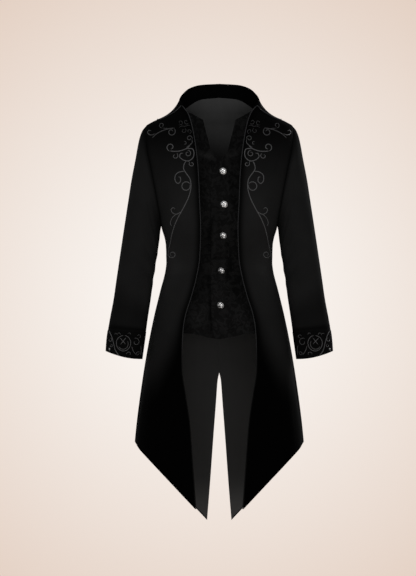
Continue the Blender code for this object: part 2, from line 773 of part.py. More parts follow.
def make_neck_lining():
    """Grey lining inside the lower part of the collar, at the back of the neck."""
    alongs = np.linspace(NECK_LINE[0].along, 2, NECK_LINING_COLUMNS + 1)
    line = Curve(NECK_LINE, "share", "along")
    columns = []
    for along in alongs:
        shares = np.linspace(NECK_LINING_START, line(along), NECK_LINING_ROWS + 1)
        columns.append(collar_profile(along, shares))
    left = np.array(columns).transpose(1, 0, 2)
    grid = np.concatenate((left, left[:, -2::-1] * (-1, 1, 1)), axis=1)
    middle = np.zeros((NECK_LINING_ROWS + 1, 3))
    middle[:, 2] = grid[:, :, 2].mean(axis=1)
    normals = grid_normals(grid, middle)
    outer = grid - normals * (NECK_LINING_DEPTH - LINING_CLOTH / 2)
    wall("neck_lining", outer, outer - normals * LINING_CLOTH, "lining_satin")


def make_coat_body():
    """Fronts, backs and the lining of the back."""
    fronts = coat_panel(FRONT, panel_places(FRONT, front_edge_turn, FRONT_POINT))
    backs = coat_panel(BACK, panel_places(BACK, back_edge_turn, TAIL_POINT))
    make_back_lining(*backs)
    return fronts


def make_back_lining(points, normals):
    """The lining lies inside the back, and stops just short of its edges."""
    lining = points - normals * LINING_DEPTH
    lining[-1] += (lining[-2] - lining[-1]) * LINING_SHORT["hem"]
    armhole, side = slice(0, ARMHOLE_STEPS + 1), slice(ARMHOLE_STEPS + 1, None)
    lining[armhole, -1] += (lining[armhole, -2] - lining[armhole, -1]) * LINING_SHORT["armhole"]
    lining[side, -1] += (lining[side, -2] - lining[side, -1]) * LINING_SHORT["side"]
    lining[0] += (lining[1] - lining[0]) * LINING_SHORT["top"]
    half = normals * LINING_CLOTH / 2
    both_sides("lining", lining + half, lining - half, "lining_satin")


def make_pipings(front_points, front_normals):
    """The cord along each open edge, and the one along the collar seam in front."""
    away = np.cross(np.gradient(front_points[:, 0], axis=0), front_normals[:, 0])
    away /= np.linalg.norm(away, axis=1, keepdims=True)
    if away[-1, 0] > 0:
        away = -away
    edge = front_points[:, 0] + away * (PIPING_RADIUS + GAP)
    pull_back(edge, (0,), (1,), PIPING_SHORT)
    seam = []
    for share in np.linspace(0.07, 0.92, 9):
        lift = COAT_CLOTH / 2 + PIPING_RADIUS + 2 * GAP
        seam.append(collar_seam_point(share) + unit(collar_body_normal(share)) * lift)
    for side, name in ((1, "left"), (-1, "right")):
        mirror = np.array((side, 1, 1))
        cord(f"piping_{name}", edge * mirror, "piping_cord")
        cord(f"seam_piping_{name}", np.array(seam) * mirror, "piping_cord")


def waistcoat_depth(side, height, under):
    """How far in the waistcoat's mid surface lies from the coat's."""
    open_half = front_edge_side(height)
    inward = max(0.0, 1 - (side / open_half) ** 2)
    depth = WAISTCOAT_DEPTH + WAISTCOAT_SETBACK * inward
    depth += WAISTCOAT_TUCK * ease((height - WAISTCOAT_NECK) / WAISTCOAT_TUCK_OVER)
    if under:
        depth += LAP_STEP * ease((side - lap_over(height)) / LAP_FADE + 2)
    return depth


def waistcoat_points(sides_and_heights, under=False):
    """Points of the waistcoat's mid surface, and their normals, from front-view places."""
    points, normals = [], []
    for row in sides_and_heights:
        point_row, normal_row = [], []
        for side, height in row:
            turn = turn_at(side, height, FRONT)
            normal = body_normal(height, turn, FRONT)
            depth = waistcoat_depth(side, height, under)
            point_row.append(body_point(height, turn, FRONT) - normal * depth)
            normal_row.append(normal)
        points.append(point_row)
        normals.append(normal_row)
    return np.array(points), np.array(normals)


def waistcoat_row(side_sign, height, edge=None):
    """Front-view places across one waistcoat front, level or along a curved edge."""
    inner = (lap_over if side_sign > 0 else lap_under)(height)
    outer = side_sign * (front_edge_side(height) + WAISTCOAT_OVERLAP)
    sides = np.linspace(inner, outer, WAISTCOAT_COLUMNS + 1)
    return [(side, edge(abs(side)) if edge else height) for side in sides]


def make_waistcoat_wall(name, rows, side_sign):
    points, normals = waistcoat_points(rows, under=side_sign < 0)
    pull_back(points, (0,), (1,))
    half = normals * WAISTCOAT_CLOTH / 2
    wall(name, points + half, points - half, "waistcoat_brocade")


def make_waistcoat_front(name, side_sign, front_points):
    """One waistcoat front, from its lapped edge to its edge under the coat."""
    low, high = WAISTCOAT_LEVELS["lowest"], WAISTCOAT_LEVELS["highest"]
    levels = [height for height in front_points[:, 0, 2] if low < height < high]
    rows = [waistcoat_row(side_sign, waistcoat_top(0), waistcoat_top)]
    rows += [waistcoat_row(side_sign, level) for level in levels]
    rows.append(waistcoat_row(side_sign, waistcoat_hem(0), waistcoat_hem))
    make_waistcoat_wall(name, rows, side_sign)


def make_waistcoat_collar(name, side_sign):
    """One half of the waistcoat's stand collar, from the seam up to its cut-away corner."""
    seam_end = front_edge_side(waistcoat_top(0)) + WAISTCOAT_OVERLAP
    sides = np.linspace(COLLAR_START, seam_end, WAISTCOAT_COLUMNS + 1)
    low = np.array([(side, waistcoat_top(side)) for side in sides]) * (side_sign, 1)
    shares = np.linspace(0, 1, WAISTCOAT_COLUMNS + 1)[:, None]
    high = COLLAR_POINT + (COLLAR_OUTER_TOP - COLLAR_POINT) * shares
    high = high * (side_sign, 1)
    rows = [low + (high - low) * rise for rise in np.linspace(0, 1, WAISTCOAT_COLLAR_ROWS + 1)]
    make_waistcoat_wall(name, rows, side_sign)


def button(name, centre, normal, radius):
    """A domed metal button with a raised rim, turned about its axis."""
    normal = unit(normal)
    first = unit(np.cross(normal, (0, 0, 1)))
    second = np.cross(normal, first)
    points = []
    for reach, rise in BUTTON_RINGS:
        for step in range(BUTTON_SEGMENTS):
            angle = 2 * math.pi * step / BUTTON_SEGMENTS
            ray = first * math.cos(angle) + second * math.sin(angle)
            points.append(centre + ray * reach * radius + normal * rise * radius)
    points.append(centre)
    points.append(centre + normal * BUTTON_CROWN * radius)
    back, crown = len(points) - 2, len(points) - 1
    faces = []
    last = (len(BUTTON_RINGS) - 1) * BUTTON_SEGMENTS
    for step in range(BUTTON_SEGMENTS):
        following = (step + 1) % BUTTON_SEGMENTS
        for ring in range(len(BUTTON_RINGS) - 1):
            low, high = ring * BUTTON_SEGMENTS, (ring + 1) * BUTTON_SEGMENTS
            faces.append((low + step, low + following, high + following, high + step))
        faces.append((step, following, back))
        faces.append((last + step, last + following, crown))
    solid(name, points, faces, "button_metal")


def make_waistcoat(front_points):
    make_waistcoat_front("waistcoat_left", 1, front_points)
    make_waistcoat_front("waistcoat_right", -1, front_points)
    make_waistcoat_collar("waistcoat_collar_left", 1)
    make_waistcoat_collar("waistcoat_collar_right", -1)
    for number, place in enumerate(BUTTONS, 1):
        points, normals = waistcoat_points([[(place.side, place.height)]])
        lift = WAISTCOAT_CLOTH / 2 + place.lift
        normal = normals[0, 0]
        button(f"waistcoat_button_{number}", points[0, 0] + normal * lift, normal, BUTTON_RADIUS)


def main():
    for old in list(bpy.data.objects):
        bpy.data.objects.remove(old)
    front_points, front_normals = make_coat_body()
    make_sleeves_and_cuffs()
    make_collar()
    make_neck_lining()
    make_pipings(front_points, front_normals)
    make_waistcoat(front_points)


main()
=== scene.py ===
import math
from collections import namedtuple

import bmesh
import bpy
import numpy as np
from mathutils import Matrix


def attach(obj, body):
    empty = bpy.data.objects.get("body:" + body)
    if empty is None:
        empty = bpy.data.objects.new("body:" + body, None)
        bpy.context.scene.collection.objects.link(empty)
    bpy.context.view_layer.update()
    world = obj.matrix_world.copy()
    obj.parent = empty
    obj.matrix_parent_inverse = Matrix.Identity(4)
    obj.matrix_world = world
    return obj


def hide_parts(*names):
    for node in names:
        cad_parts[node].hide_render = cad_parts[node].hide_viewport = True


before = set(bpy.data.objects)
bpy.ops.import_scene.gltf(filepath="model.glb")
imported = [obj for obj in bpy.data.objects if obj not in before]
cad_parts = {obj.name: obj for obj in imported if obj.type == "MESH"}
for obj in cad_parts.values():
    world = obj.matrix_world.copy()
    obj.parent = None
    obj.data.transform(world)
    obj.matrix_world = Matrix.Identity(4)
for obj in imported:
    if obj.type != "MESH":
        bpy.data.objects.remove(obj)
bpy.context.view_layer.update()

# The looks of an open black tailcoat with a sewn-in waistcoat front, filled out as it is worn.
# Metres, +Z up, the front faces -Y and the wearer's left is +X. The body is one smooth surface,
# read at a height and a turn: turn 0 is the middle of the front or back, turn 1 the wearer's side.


def table(columns, *rows):
    """A short table, whose rows are read by the names of their columns."""
    named = namedtuple("Row", columns)
    return [named(*row) for row in rows]


# Cloth and fitting, as the solids have them

COAT_CLOTH = 0.0022
COLLAR_CLOTH = 0.0024
CUFF_PROUD = 0.0008  # how much thicker the turned cuff is
WAISTCOAT_CLOTH = 0.0016
LINING_CLOTH = 0.0010
GAP = 0.0003  # between neighbours at a seam
LINING_DEPTH = 0.0023
LINING_HEM = 0.004  # how much shorter than the coat the lining is
NECK_LINING_DEPTH = 0.0025
WAISTCOAT_DEPTH = 0.0025  # how far behind the coat's surface it lies
WAISTCOAT_SETBACK = 0.0050  # how much farther back in its middle
LAP_STEP = 0.0020  # how much farther back its lower lap lies
WAISTCOAT_NECK = -0.139
WAISTCOAT_TUCK = 0.0012  # how much farther back its neck lies
WAISTCOAT_TUCK_OVER = 0.060
PIPING_RADIUS = 0.0013

FRONT = -1
BACK = 1
SIDES = {"left": np.array((1, 1, 1)), "right": np.array((-1, 1, 1))}

SHOULDER_TIP = -0.046
PIT = -0.302
SKIRT = -0.600
VENT_TOP = -0.692
HEM_SIDE_HALF_WIDTH = 0.2195
HEM_SIDE = -0.880
HEM_SLOPE = 1.0635
HEM_CORNER_RUN = 0.014  # its outer corner is rounded over this width and by this height
HEM_CORNER_RISE = 0.009
FRONT_POINT = -1.043
TAIL_POINT = -1.076

SECTIONS = table(
    "height half_width front back fullness",
    (0.012, 0.109, 0.053, 0.072, 2.3), (-0.010, 0.131, 0.068, 0.079, 2.3),
    (-0.028, 0.162, 0.079, 0.085, 2.3), (-0.037, 0.180, 0.084, 0.089, 2.3),
    (-0.046, 0.193, 0.089, 0.092, 2.3), (-0.100, 0.193, 0.108, 0.103, 2.3),
    (-0.170, 0.180, 0.120, 0.110, 2.3), (-0.240, 0.165, 0.126, 0.111, 2.3),
    (-0.302, 0.152, 0.126, 0.107, 2.3), (-0.343, 0.1415, 0.120, 0.102, 2.3),
    (-0.385, 0.1376, 0.114, 0.099, 2.3), (-0.422, 0.140, 0.112, 0.100, 2.3),
    (-0.474, 0.153, 0.115, 0.106, 2.25), (-0.527, 0.166, 0.119, 0.114, 2.2),
    (-0.600, 0.181, 0.123, 0.123, 2.1), (-0.710, 0.199, 0.127, 0.131, 2.0),
    (-0.867, 0.2195, 0.131, 0.140, 2.0), (-1.080, 0.236, 0.135, 0.150, 2.0),
)
ARMHOLE = table(
    "height side",
    (-0.046, 0.193), (-0.094, 0.192), (-0.159, 0.180), (-0.223, 0.167), (-0.291, 0.1545), (-0.302, 0.152),
)
ARMHOLE_REACH = {FRONT: 0.054, BACK: 0.056}
ARMHOLE_STEPS = 12
TOP_ROWS = 6  # rows over which the top edge's shape fades out
FAN = 1.5  # how the rows fan out from the armhole to the middle
FRONT_EDGE = table(
    "height side",
    (0.0086, 0.097), (-0.012, 0.081), (-0.0375, 0.072), (-0.082, 0.063), (-0.137, 0.056),
    (-0.186, 0.0524), (-0.238, 0.0505), (-0.315, 0.0474), (-0.390, 0.050), (-0.443, 0.059),
    (-0.492, 0.072), (-0.540, 0.087), (-0.576, 0.093), (-0.618, 0.0955), (-0.679, 0.0964),
    (-0.752, 0.0865), (-0.825, 0.076), (-0.917, 0.069), (-1.043, 0.060),
)
VENT = table(
    "height side",
    (-0.692, 0.0), (-0.710, 0.004), (-0.762, 0.008), (-0.867, 0.016), (-0.972, 0.0236), (-1.076, 0.032),
)
COLLAR_SEAM = {
    FRONT: table(
        "share side height",
        (0.00, 0.0970, 0.0086), (0.25, 0.1140, -0.0080), (0.47, 0.1290, -0.0170), (0.67, 0.1435, -0.0250),
        (0.86, 0.1570, -0.0300), (1.00, 0.1630, -0.0285),
    ),
    BACK: table(
        "share side height",
        (0.00, 0.0000, -0.0080), (0.25, 0.0450, -0.0095), (0.50, 0.0880, -0.0140),
        (0.75, 0.1280, -0.0220), (0.90, 0.1520, -0.0275), (1.00, 0.1630, -0.0285),
    ),
}
COLLAR_ON_TOP_EDGE = {FRONT: 5 / 8, BACK: 6 / 9}  # the share of a panel's top edge along the collar
COLLAR_RIM = table(
    "along side depth height",
    (0.00, 0.0965, -0.034, 0.0145), (0.30, 0.1010, -0.028, 0.0180), (0.60, 0.1035, -0.014, 0.0240),
    (1.00, 0.1010, 0.006, 0.0310), (1.25, 0.0930, 0.026, 0.0415), (1.50, 0.0780, 0.047, 0.0545),
    (1.75, 0.0480, 0.064, 0.0640), (2.00, 0.0000, 0.071, 0.0670),
)
COLLAR_LEAN = 0.76  # how far out and up, as shares, the collar's hollow lies
COLLAR_LIFT = 0.27
NECK_LINE = table(
    "along share",
    (1.35, 0.20), (1.50, 0.42), (1.75, 0.59), (2.00, 0.62),
)
SLEEVE_OUTER = table(
    "height side",
    (-0.046, 0.193), (-0.060, 0.202), (-0.081, 0.209), (-0.134, 0.219), (-0.186, 0.229), (-0.238, 0.237),
    (-0.343, 0.253), (-0.448, 0.2685), (-0.500, 0.276), (-0.553, 0.286), (-0.605, 0.2940),
    (-0.634, 0.2960),
)
SLEEVE_INNER = table(
    "height side",
    (-0.302, 0.152), (-0.317, 0.1552), (-0.343, 0.158), (-0.396, 0.166), (-0.448, 0.174), (-0.500, 0.181),
    (-0.553, 0.189), (-0.605, 0.196), (-0.655, 0.203),
)
SLEEVE_DEPTHS = table(
    "along half_depth middle",
    (0.00, 0.055, 0.001), (0.20, 0.056, 0.002), (0.45, 0.053, 0.001), (0.70, 0.049, -0.007),
    (1.00, 0.046, -0.018), (1.12, 0.046, -0.022),
)
SLEEVE_HEAD = 0.35  # the share of the sleeve that still follows the armhole
CUFF_ALONG = 1.12
OUTER_ENDS = (SHOULDER_TIP, -0.580, -0.634)  # heights at the armhole, the cuff and the cuff's hem
INNER_ENDS = (PIT, -0.584, -0.655)
CUFF_DIP = 0.0055  # how far its hem dips in front and behind
FOLDS = table(
    "face turn width depth top",
    (FRONT, 0.66, 0.27, 0.007, -0.46), (BACK, 0.70, 0.25, 0.009, -0.44), (BACK, 0.30, 0.21, 0.009, -0.52),
)
FOLD_FULL = -0.98  # the height at which the folds are fully deep
WAISTCOAT_OVERLAP = 0.027  # how far it goes on behind the coat's edge
WAISTCOAT_ENDS = table(
    "side top bottom",
    (0.0000, -0.1390, -0.602), (0.0110, -0.1270, -0.601), (0.0215, -0.1120, -0.599),
    (0.0300, -0.1095, -0.598), (0.053, -0.105, -0.592), (0.080, -0.094, -0.588), (0.130, -0.090, -0.587),
)
LAP = table(
    "height over under",
    (-0.139, 0.0008, 0.0008), (-0.160, -0.012, 0.008), (-0.220, -0.021, 0.012), (-0.283, -0.022, 0.012),
    (-0.560, -0.022, 0.012), (-0.602, -0.012, 0.012),
)
LAP_FADE = 0.016
COLLAR_START = 0.0215  # the waistcoat's collar: its seam's start, its point and its outer top
COLLAR_POINT = np.array((0.043, -0.026))
COLLAR_OUTER_TOP = np.array((0.0925, 0.000))
BUTTONS = table(
    "side height lift",
    (0.009, -0.164, 0.0005), (0.012, -0.251, 0.0005), (0.009, -0.334, 0.0006), (0.004, -0.425, 0.0011),
    (0.002, -0.515, 0.0006),
)
BUTTON_RADIUS = 0.0095


class Curve:
    """A smooth curve through one column of a table, with no overshoot between the rows."""

    def __init__(self, rows, column, key="height"):
        rows = sorted(rows, key=lambda row: getattr(row, key))
        self.at = np.array([getattr(row, key) for row in rows], float)
        self.values = np.array([getattr(row, column) for row in rows], float)
        rises = np.diff(self.values) / np.diff(self.at)
        before, after = rises[:-1], rises[1:]
        same_way = before * after > 0
        total = np.where(same_way, before + after, 1.0)
        inner = np.where(same_way, 2 * before * after / total, 0.0)
        self.slopes = np.concatenate((rises[:1], inner, rises[-1:]))

    def __call__(self, x):
        x = np.clip(x, self.at[0], self.at[-1])
        i = np.clip(np.searchsorted(self.at, x, side="right") - 1, 0, len(self.at) - 2)
        step = self.at[i + 1] - self.at[i]
        t = (x - self.at[i]) / step
        start = (1 + 2 * t) * (1 - t) ** 2 * self.values[i] + t * (1 - t) ** 2 * step * self.slopes[i]
        end = t * t * (3 - 2 * t) * self.values[i + 1] - t * t * (1 - t) * step * self.slopes[i + 1]
        return start + end


section_half_width = Curve(SECTIONS, "half_width")
section_fullness = Curve(SECTIONS, "fullness")
section_depth = {FRONT: Curve(SECTIONS, "front"), BACK: Curve(SECTIONS, "back")}
armhole_side = Curve(ARMHOLE, "side")
front_edge_side = Curve(FRONT_EDGE, "side")
vent_side = Curve(VENT, "side")
sleeve_outer_side = Curve(SLEEVE_OUTER, "side")
sleeve_inner_side = Curve(SLEEVE_INNER, "side")
sleeve_half_depth = Curve(SLEEVE_DEPTHS, "half_depth", "along")
sleeve_middle = Curve(SLEEVE_DEPTHS, "middle", "along")
waistcoat_top = Curve(WAISTCOAT_ENDS, "top", "side")
waistcoat_hem = Curve(WAISTCOAT_ENDS, "bottom", "side")
lap_over = Curve(LAP, "over")
lap_under = Curve(LAP, "under")


def unit(vectors):
    return vectors / np.linalg.norm(vectors, axis=-1, keepdims=True)


def outward(normals, away):
    """The same normals, turned if they point against away on the whole."""
    return normals if np.sum(normals * away) > 0 else -normals


def walked(points, axis=0):
    """How far each point lies along its line, or along the rows or columns of its grid."""
    steps = np.linalg.norm(np.diff(points, axis=axis), axis=-1)
    start = np.zeros_like(np.take(steps, [0], axis))
    return np.concatenate((start, np.cumsum(steps, axis=axis)), axis=axis)


def ease(share):
    """0 below 0, 1 above 1 and a soft step between."""
    share = np.clip(share, 0.0, 1.0)
    return share * share * (3 - 2 * share)


# The coat's body

def armhole_reach(height, face):
    """How far the armhole opens forward or back from the side line at a height."""
    cosine = np.clip(2 * (height - PIT) / (SHOULDER_TIP - PIT) - 1, -1, 1)
    return ARMHOLE_REACH[face] * np.sqrt(1 - cosine * cosine)


def half_width(height, face):
    """The body's half width, which beside the armhole follows from that seam."""
    fullness = section_fullness(height)
    reach = (armhole_reach(height, face) / section_depth[face](height)) ** fullness
    beside = armhole_side(height) / (1 - reach) ** (1 / fullness)
    return np.where((height > PIT) & (height < SHOULDER_TIP), beside, section_half_width(height))


def fold_lift(height, turn, face):
    """How far the skirt's folds stand out at a place."""
    lift = np.zeros(np.shape(height))
    for fold in FOLDS:
        if fold.face == face:
            off = np.clip(abs(turn - fold.turn) / fold.width, 0, 1)
            growth = ease((fold.top - height) / (fold.top - FOLD_FULL))
            lift = lift + fold.depth * growth * np.cos(off * math.pi / 2) ** 2
    return lift


def body_point(height, turn, face):
    """Points of the coat's mid surface on the wearer's left."""
    height, turn = np.broadcast_arrays(np.asarray(height, float), np.asarray(turn, float))
    sine, cosine = np.sin(turn * math.pi / 2), np.cos(turn * math.pi / 2)
    power = 2 / section_fullness(height)
    lift = fold_lift(height, turn, face)
    x = half_width(height, face) * np.sign(sine) * abs(sine) ** power + lift * sine
    y = section_depth[face](height) * np.sign(cosine) * abs(cosine) ** power + lift * cosine
    return np.stack((x, face * y, height), axis=-1)


def body_normal(height, turn, face):
    """The outward normals of the coat's mid surface."""
    step = 0.002
    across = body_point(height, turn + step, face) - body_point(height, turn - step, face)
    up = body_point(height + step, turn, face) - body_point(height - step, turn, face)
    normals = unit(np.cross(across, up))
    facing = np.sum(normals * body_point(height, turn, face) * (1, 1, 0), axis=-1, keepdims=True)
    return np.where(facing > 0, normals, -normals)


def turn_at(side, height, face):
    """The turn at which the body is this far from the middle, seen from the front."""
    share = np.clip(abs(side) / half_width(height, face), 0, 1)
    return np.sign(side) * np.arcsin(share ** (section_fullness(height) / 2)) / (math.pi / 2)


def side_turn(height, face):
    """The turn of a panel's outer edge: the armhole, or the side line."""
    reach = armhole_reach(height, face) / section_depth[face](height)
    return np.arccos(reach ** (section_fullness(height) / 2)) / (math.pi / 2)


def armhole_height(step):
    return PIT + (SHOULDER_TIP - PIT) * (1 + math.cos(math.pi * step / ARMHOLE_STEPS)) / 2


def front_edge_turn(height):
    """The cut edge of a front, which leaves room for its piping."""
    return turn_at(front_edge_side(height) + 2 * PIPING_RADIUS + GAP, height, FRONT)


def back_edge_turn(height):
    """The middle of the back, and below it the edge of the vent."""
    return turn_at(vent_side(height), height, BACK) if height < VENT_TOP else 0.0


def seam_place(share, face):
    """A place, as height and turn, on the collar's lower seam."""
    rows = COLLAR_SEAM[face]
    height = Curve(rows, "height", "share")(share)
    turn = turn_at(Curve(rows, "side", "share")(share), height, face)
    return height, np.where(share >= 1, 1.0, turn)


def top_place(share, face):
    """A place on a panel's top edge: the collar seam, and then the shoulder seam."""
    along = COLLAR_ON_TOP_EDGE[face]
    if share <= along:
        return seam_place(share / along, face)
    ridge = seam_place(1, face)[0]
    return ridge + (SHOULDER_TIP - ridge) * (share - along) / (1 - along), 1.0


def hem_height(turn, face):
    """The pointed hem, straight as the front shows it and rounded where it turns the side."""
    height = HEM_SIDE
    for _ in range(8):  # each round comes closer, because the width changes with the height
        inside = HEM_SIDE_HALF_WIDTH - min(body_point(height, turn, face)[0], HEM_SIDE_HALF_WIDTH)
        near = max(0.0, 1 - inside / HEM_CORNER_RUN)
        height = HEM_SIDE - inside * HEM_SLOPE + HEM_CORNER_RISE * near**2
    return height


ARMHOLE_FINENESS = 4  # rows for each step of the solid
WAIST_ROWS = 46
SKIRT_ROWS = 84
PANEL_COLUMNS = {FRONT: 64, BACK: 63}


def panel_places(face, edge_turn, point_height):
    """The height and turn of each grid point of a coat panel, from its top edge to its hem."""
    shares = np.linspace(0, 1, PANEL_COLUMNS[face] + 1)
    top = np.array([top_place(share, face) for share in shares])
    rows = []
    for step in np.linspace(0, ARMHOLE_STEPS, ARMHOLE_STEPS * ARMHOLE_FINENESS + 1):
        side_height = armhole_height(step)
        centre_height = side_height + (top[0, 0] - SHOULDER_TIP) * (1 - step / ARMHOLE_STEPS) ** FAN
        heights = side_height + (centre_height - side_height) * (1 - shares) ** FAN
        start = edge_turn(centre_height) if step else top[0, 1]
        row = np.stack((heights, start + (side_turn(side_height, face) - start) * shares), axis=1)
        if step == 0:
            shape = top - row
        rows.append(row + shape * max(0.0, 1 - step / TOP_ROWS) ** 2)
    level = [np.full(len(shares), h) for h in np.linspace(PIT, SKIRT, WAIST_ROWS + 1)[1:-1]]
    hem_start = edge_turn(point_height)
    hem = np.array([hem_height(hem_start + (1 - hem_start) * share, face) for share in shares])
    slanting = [SKIRT + (hem - SKIRT) * share for share in np.linspace(0, 1, SKIRT_ROWS + 1)]
    for heights in level + slanting:
        start = edge_turn(heights[0])
        rows.append(np.stack((heights, start + (1 - start) * shares), axis=1))
    return np.array(rows)


# Creases

# They are soft ridges and troughs, listed by where each starts and ends, how wide it
# is and how far out it stands, in metres. On the body u is the turn and v the height.
CREASE = "from_u from_v to_u to_v width height"
CREASE_END = 0.35  # the share of its height that a crease has at its ends
AROUND = 0.24  # metres for one turn from the middle to the side
BODY_CREASES = {
    FRONT: table(
        CREASE,
        (0.97, -0.300, 0.72, -0.262, 0.011, -0.0012), (0.98, -0.322, 0.68, -0.300, 0.012, 0.0013),
        (0.98, -0.352, 0.66, -0.345, 0.010, -0.0014), (0.98, -0.378, 0.62, -0.392, 0.012, 0.0013),
        (0.97, -0.405, 0.66, -0.436, 0.011, -0.0013), (0.92, -0.440, 0.62, -0.500, 0.016, 0.0014),
        (0.50, -0.560, 0.46, -0.940, 0.024, 0.0022), (0.88, -0.560, 0.93, -0.860, 0.024, -0.0020),
        (0.74, -0.700, 0.72, -0.900, 0.018, -0.0012), (0.60, -0.080, 0.52, -0.200, 0.024, 0.0010),
    ),
    BACK: table(
        CREASE,
        (0.95, -0.290, 0.55, -0.225, 0.014, -0.0022), (0.97, -0.318, 0.52, -0.285, 0.014, 0.0024),
        (0.97, -0.352, 0.48, -0.345, 0.013, -0.0022), (0.96, -0.384, 0.42, -0.388, 0.013, 0.0022),
        (0.95, -0.412, 0.45, -0.430, 0.012, -0.0022), (0.35, -0.395, 0.10, -0.402, 0.012, -0.0016),
        (0.12, -0.090, 0.40, -0.070, 0.020, 0.0016), (0.55, -0.560, 0.52, -0.980, 0.026, -0.0034),
        (0.86, -0.540, 0.90, -0.880, 0.026, 0.0030), (0.18, -0.640, 0.16, -1.000, 0.022, 0.0024),
    ),
}
# On a sleeve u is the angle in degrees, from the outer side round the front, and v the share of
# the sleeve's length
SLEEVE_AROUND = 0.30 / 360
SLEEVE_LENGTH = 0.54
SLEEVE_CREASES = table(
    CREASE,
    (60, 0.10, 150, 0.24, 0.014, -0.0012), (110, 0.20, 190, 0.30, 0.012, 0.0013),
    (170, 0.36, 90, 0.42, 0.012, -0.0015), (185, 0.42, 80, 0.50, 0.012, 0.0015),
    (180, 0.50, 100, 0.55, 0.012, -0.0016), (175, 0.56, 110, 0.63, 0.013, 0.0013),
    (30, 0.40, 60, 0.58, 0.016, 0.0012), (60, 0.68, 80, 0.92, 0.014, -0.0010),
    (200, 0.34, 280, 0.44, 0.013, -0.0014), (195, 0.44, 285, 0.50, 0.013, 0.0015),
    (205, 0.52, 290, 0.60, 0.014, -0.0014), (240, 0.12, 310, 0.26, 0.016, 0.0012),
    (300, 0.66, 320, 0.90, 0.016, 0.0010),
)
# On the waistcoat u is the distance to the wearer's left and v the height
WAISTCOAT_CREASES = table(
    CREASE,
    (-0.021, -0.3905, 0.026, -0.3915, 0.0035, -0.0020), (-0.019, -0.3990, 0.024, -0.4000, 0.0060, 0.0012),
    (-0.029, -0.3200, -0.031, -0.3800, 0.0050, -0.0014),
    (0.024, -0.3500, 0.034, -0.4150, 0.0060, -0.0014), (0.034, -0.3050, 0.038, -0.3500, 0.0060, 0.0010),
    (0.010, -0.4300, 0.042, -0.4050, 0.0060, -0.0009), (-0.030, -0.4200, -0.046, -0.4000, 0.0060, 0.0010),
    (-0.033, -0.4350, -0.038, -0.5200, 0.0080, 0.0011), (0.026, -0.4650, 0.052, -0.5100, 0.0080, -0.0012),
    (0.014, -0.5250, 0.040, -0.5600, 0.0070, 0.0010), (-0.045, -0.5300, -0.070, -0.5600, 0.0080, -0.0011),
    (-0.034, -0.1800, -0.024, -0.2350, 0.0070, -0.0009), (0.030, -0.1750, 0.036, -0.2250, 0.0070, 0.0009),
    (-0.035, -0.2550, -0.028, -0.3050, 0.0060, 0.0010), (0.018, -0.2600, 0.040, -0.2850, 0.0060, -0.0009),
)


def crease_relief(creases, u, v, scale=(1.0, 1.0)):
    """How far out the creases of a table stand at each place."""
    relief = np.zeros(np.shape(u))
    place = np.stack((u * scale[0], v * scale[1]), axis=-1)
    for from_u, from_v, to_u, to_v, width, height in creases:
        start = np.array((from_u, from_v)) * scale
        run = np.array((to_u, to_v)) * scale - start
        share = np.clip(np.sum((place - start) * run, axis=-1) / (run @ run), 0, 1)
        off = np.linalg.norm(place - start - share[..., None] * run, axis=-1) / width
        taper = CREASE_END + (1 - CREASE_END) * np.sin(math.pi * np.clip(share, 0.02, 0.98))
        relief += height * taper * np.exp(-off * off)
    return relief


def bell(distance, width):
    """1 at no distance, and softly down to 0 about two widths away."""
    return np.exp(-((distance / width) ** 2))


EDGE_CALM = 0.16  # how far from a front's edge, as a turn, its creases have faded in
SEAM_SINK = 0.0014  # how far cloth sinks at its seams
SEAM_WIDTH = 0.0045
PIT_CALM = 0.070  # how far from the pit the armhole and side seams have sunk in full
VENT_CALM = 0.02  # how far above the vent the middle seam has


def panel_surface(face):
    """A coat panel's mid surface with its creases, and its normals."""
    edge_turn = front_edge_turn if face == FRONT else back_edge_turn
    places = panel_places(face, edge_turn, FRONT_POINT if face == FRONT else TAIL_POINT)
    height, turn = places[..., 0], places[..., 1]
    points, normals = body_point(height, turn, face), body_normal(height, turn, face)
    relief = crease_relief(BODY_CREASES[face], turn, height, (AROUND, 1.0))
    sink = bell((turn[:, -1:] - turn) * AROUND, SEAM_WIDTH) * ease(abs(height[:, -1:] - PIT) / PIT_CALM)
    if face == FRONT:
        relief = relief * ease((turn - turn[:, :1]) / EDGE_CALM)
    else:
        sink = sink + bell(turn * AROUND, SEAM_WIDTH) * ease((height[:, :1] - VENT_TOP) / VENT_CALM)
    return points + normals * (relief - SEAM_SINK * sink)[..., None], normals


# The sleeves and cuffs

SLEEVE_SEGMENTS = 96
SLEEVE_ROWS = 110
CUFF_ROWS = 14
SLEEVE_CALM = (0.08, 0.06)  # the shares of the sleeve at its head and its end where creases fade
RING_ANGLES = np.linspace(0, 2 * math.pi, SLEEVE_SEGMENTS, endpoint=False)


def sleeve_ring(along, angles):
    """One oval ring of the sleeve, or past its end of the cuff."""
    outer_height, inner_height = (
        top + (end - top) * min(along, 1) + (hem - end) * max(0, along - 1) / (CUFF_ALONG - 1)
        for top, end, hem in (OUTER_ENDS, INNER_ENDS)
    )
    outer = np.array((sleeve_outer_side(outer_height), 0, outer_height))
    inner = np.array((sleeve_inner_side(inner_height), 0, inner_height))
    middle = (outer + inner) / 2 + (0, sleeve_middle(along), 0)
    ring = middle + np.outer(np.cos(angles), (outer - inner) / 2)
    ring = ring + np.outer(np.sin(angles), (0, -sleeve_half_depth(along), 0))
    dip = CUFF_DIP * ease((along - 1) / (CUFF_ALONG - 1)) * np.sin(angles) ** 2
    return ring - np.outer(dip, (0, 0, 1))


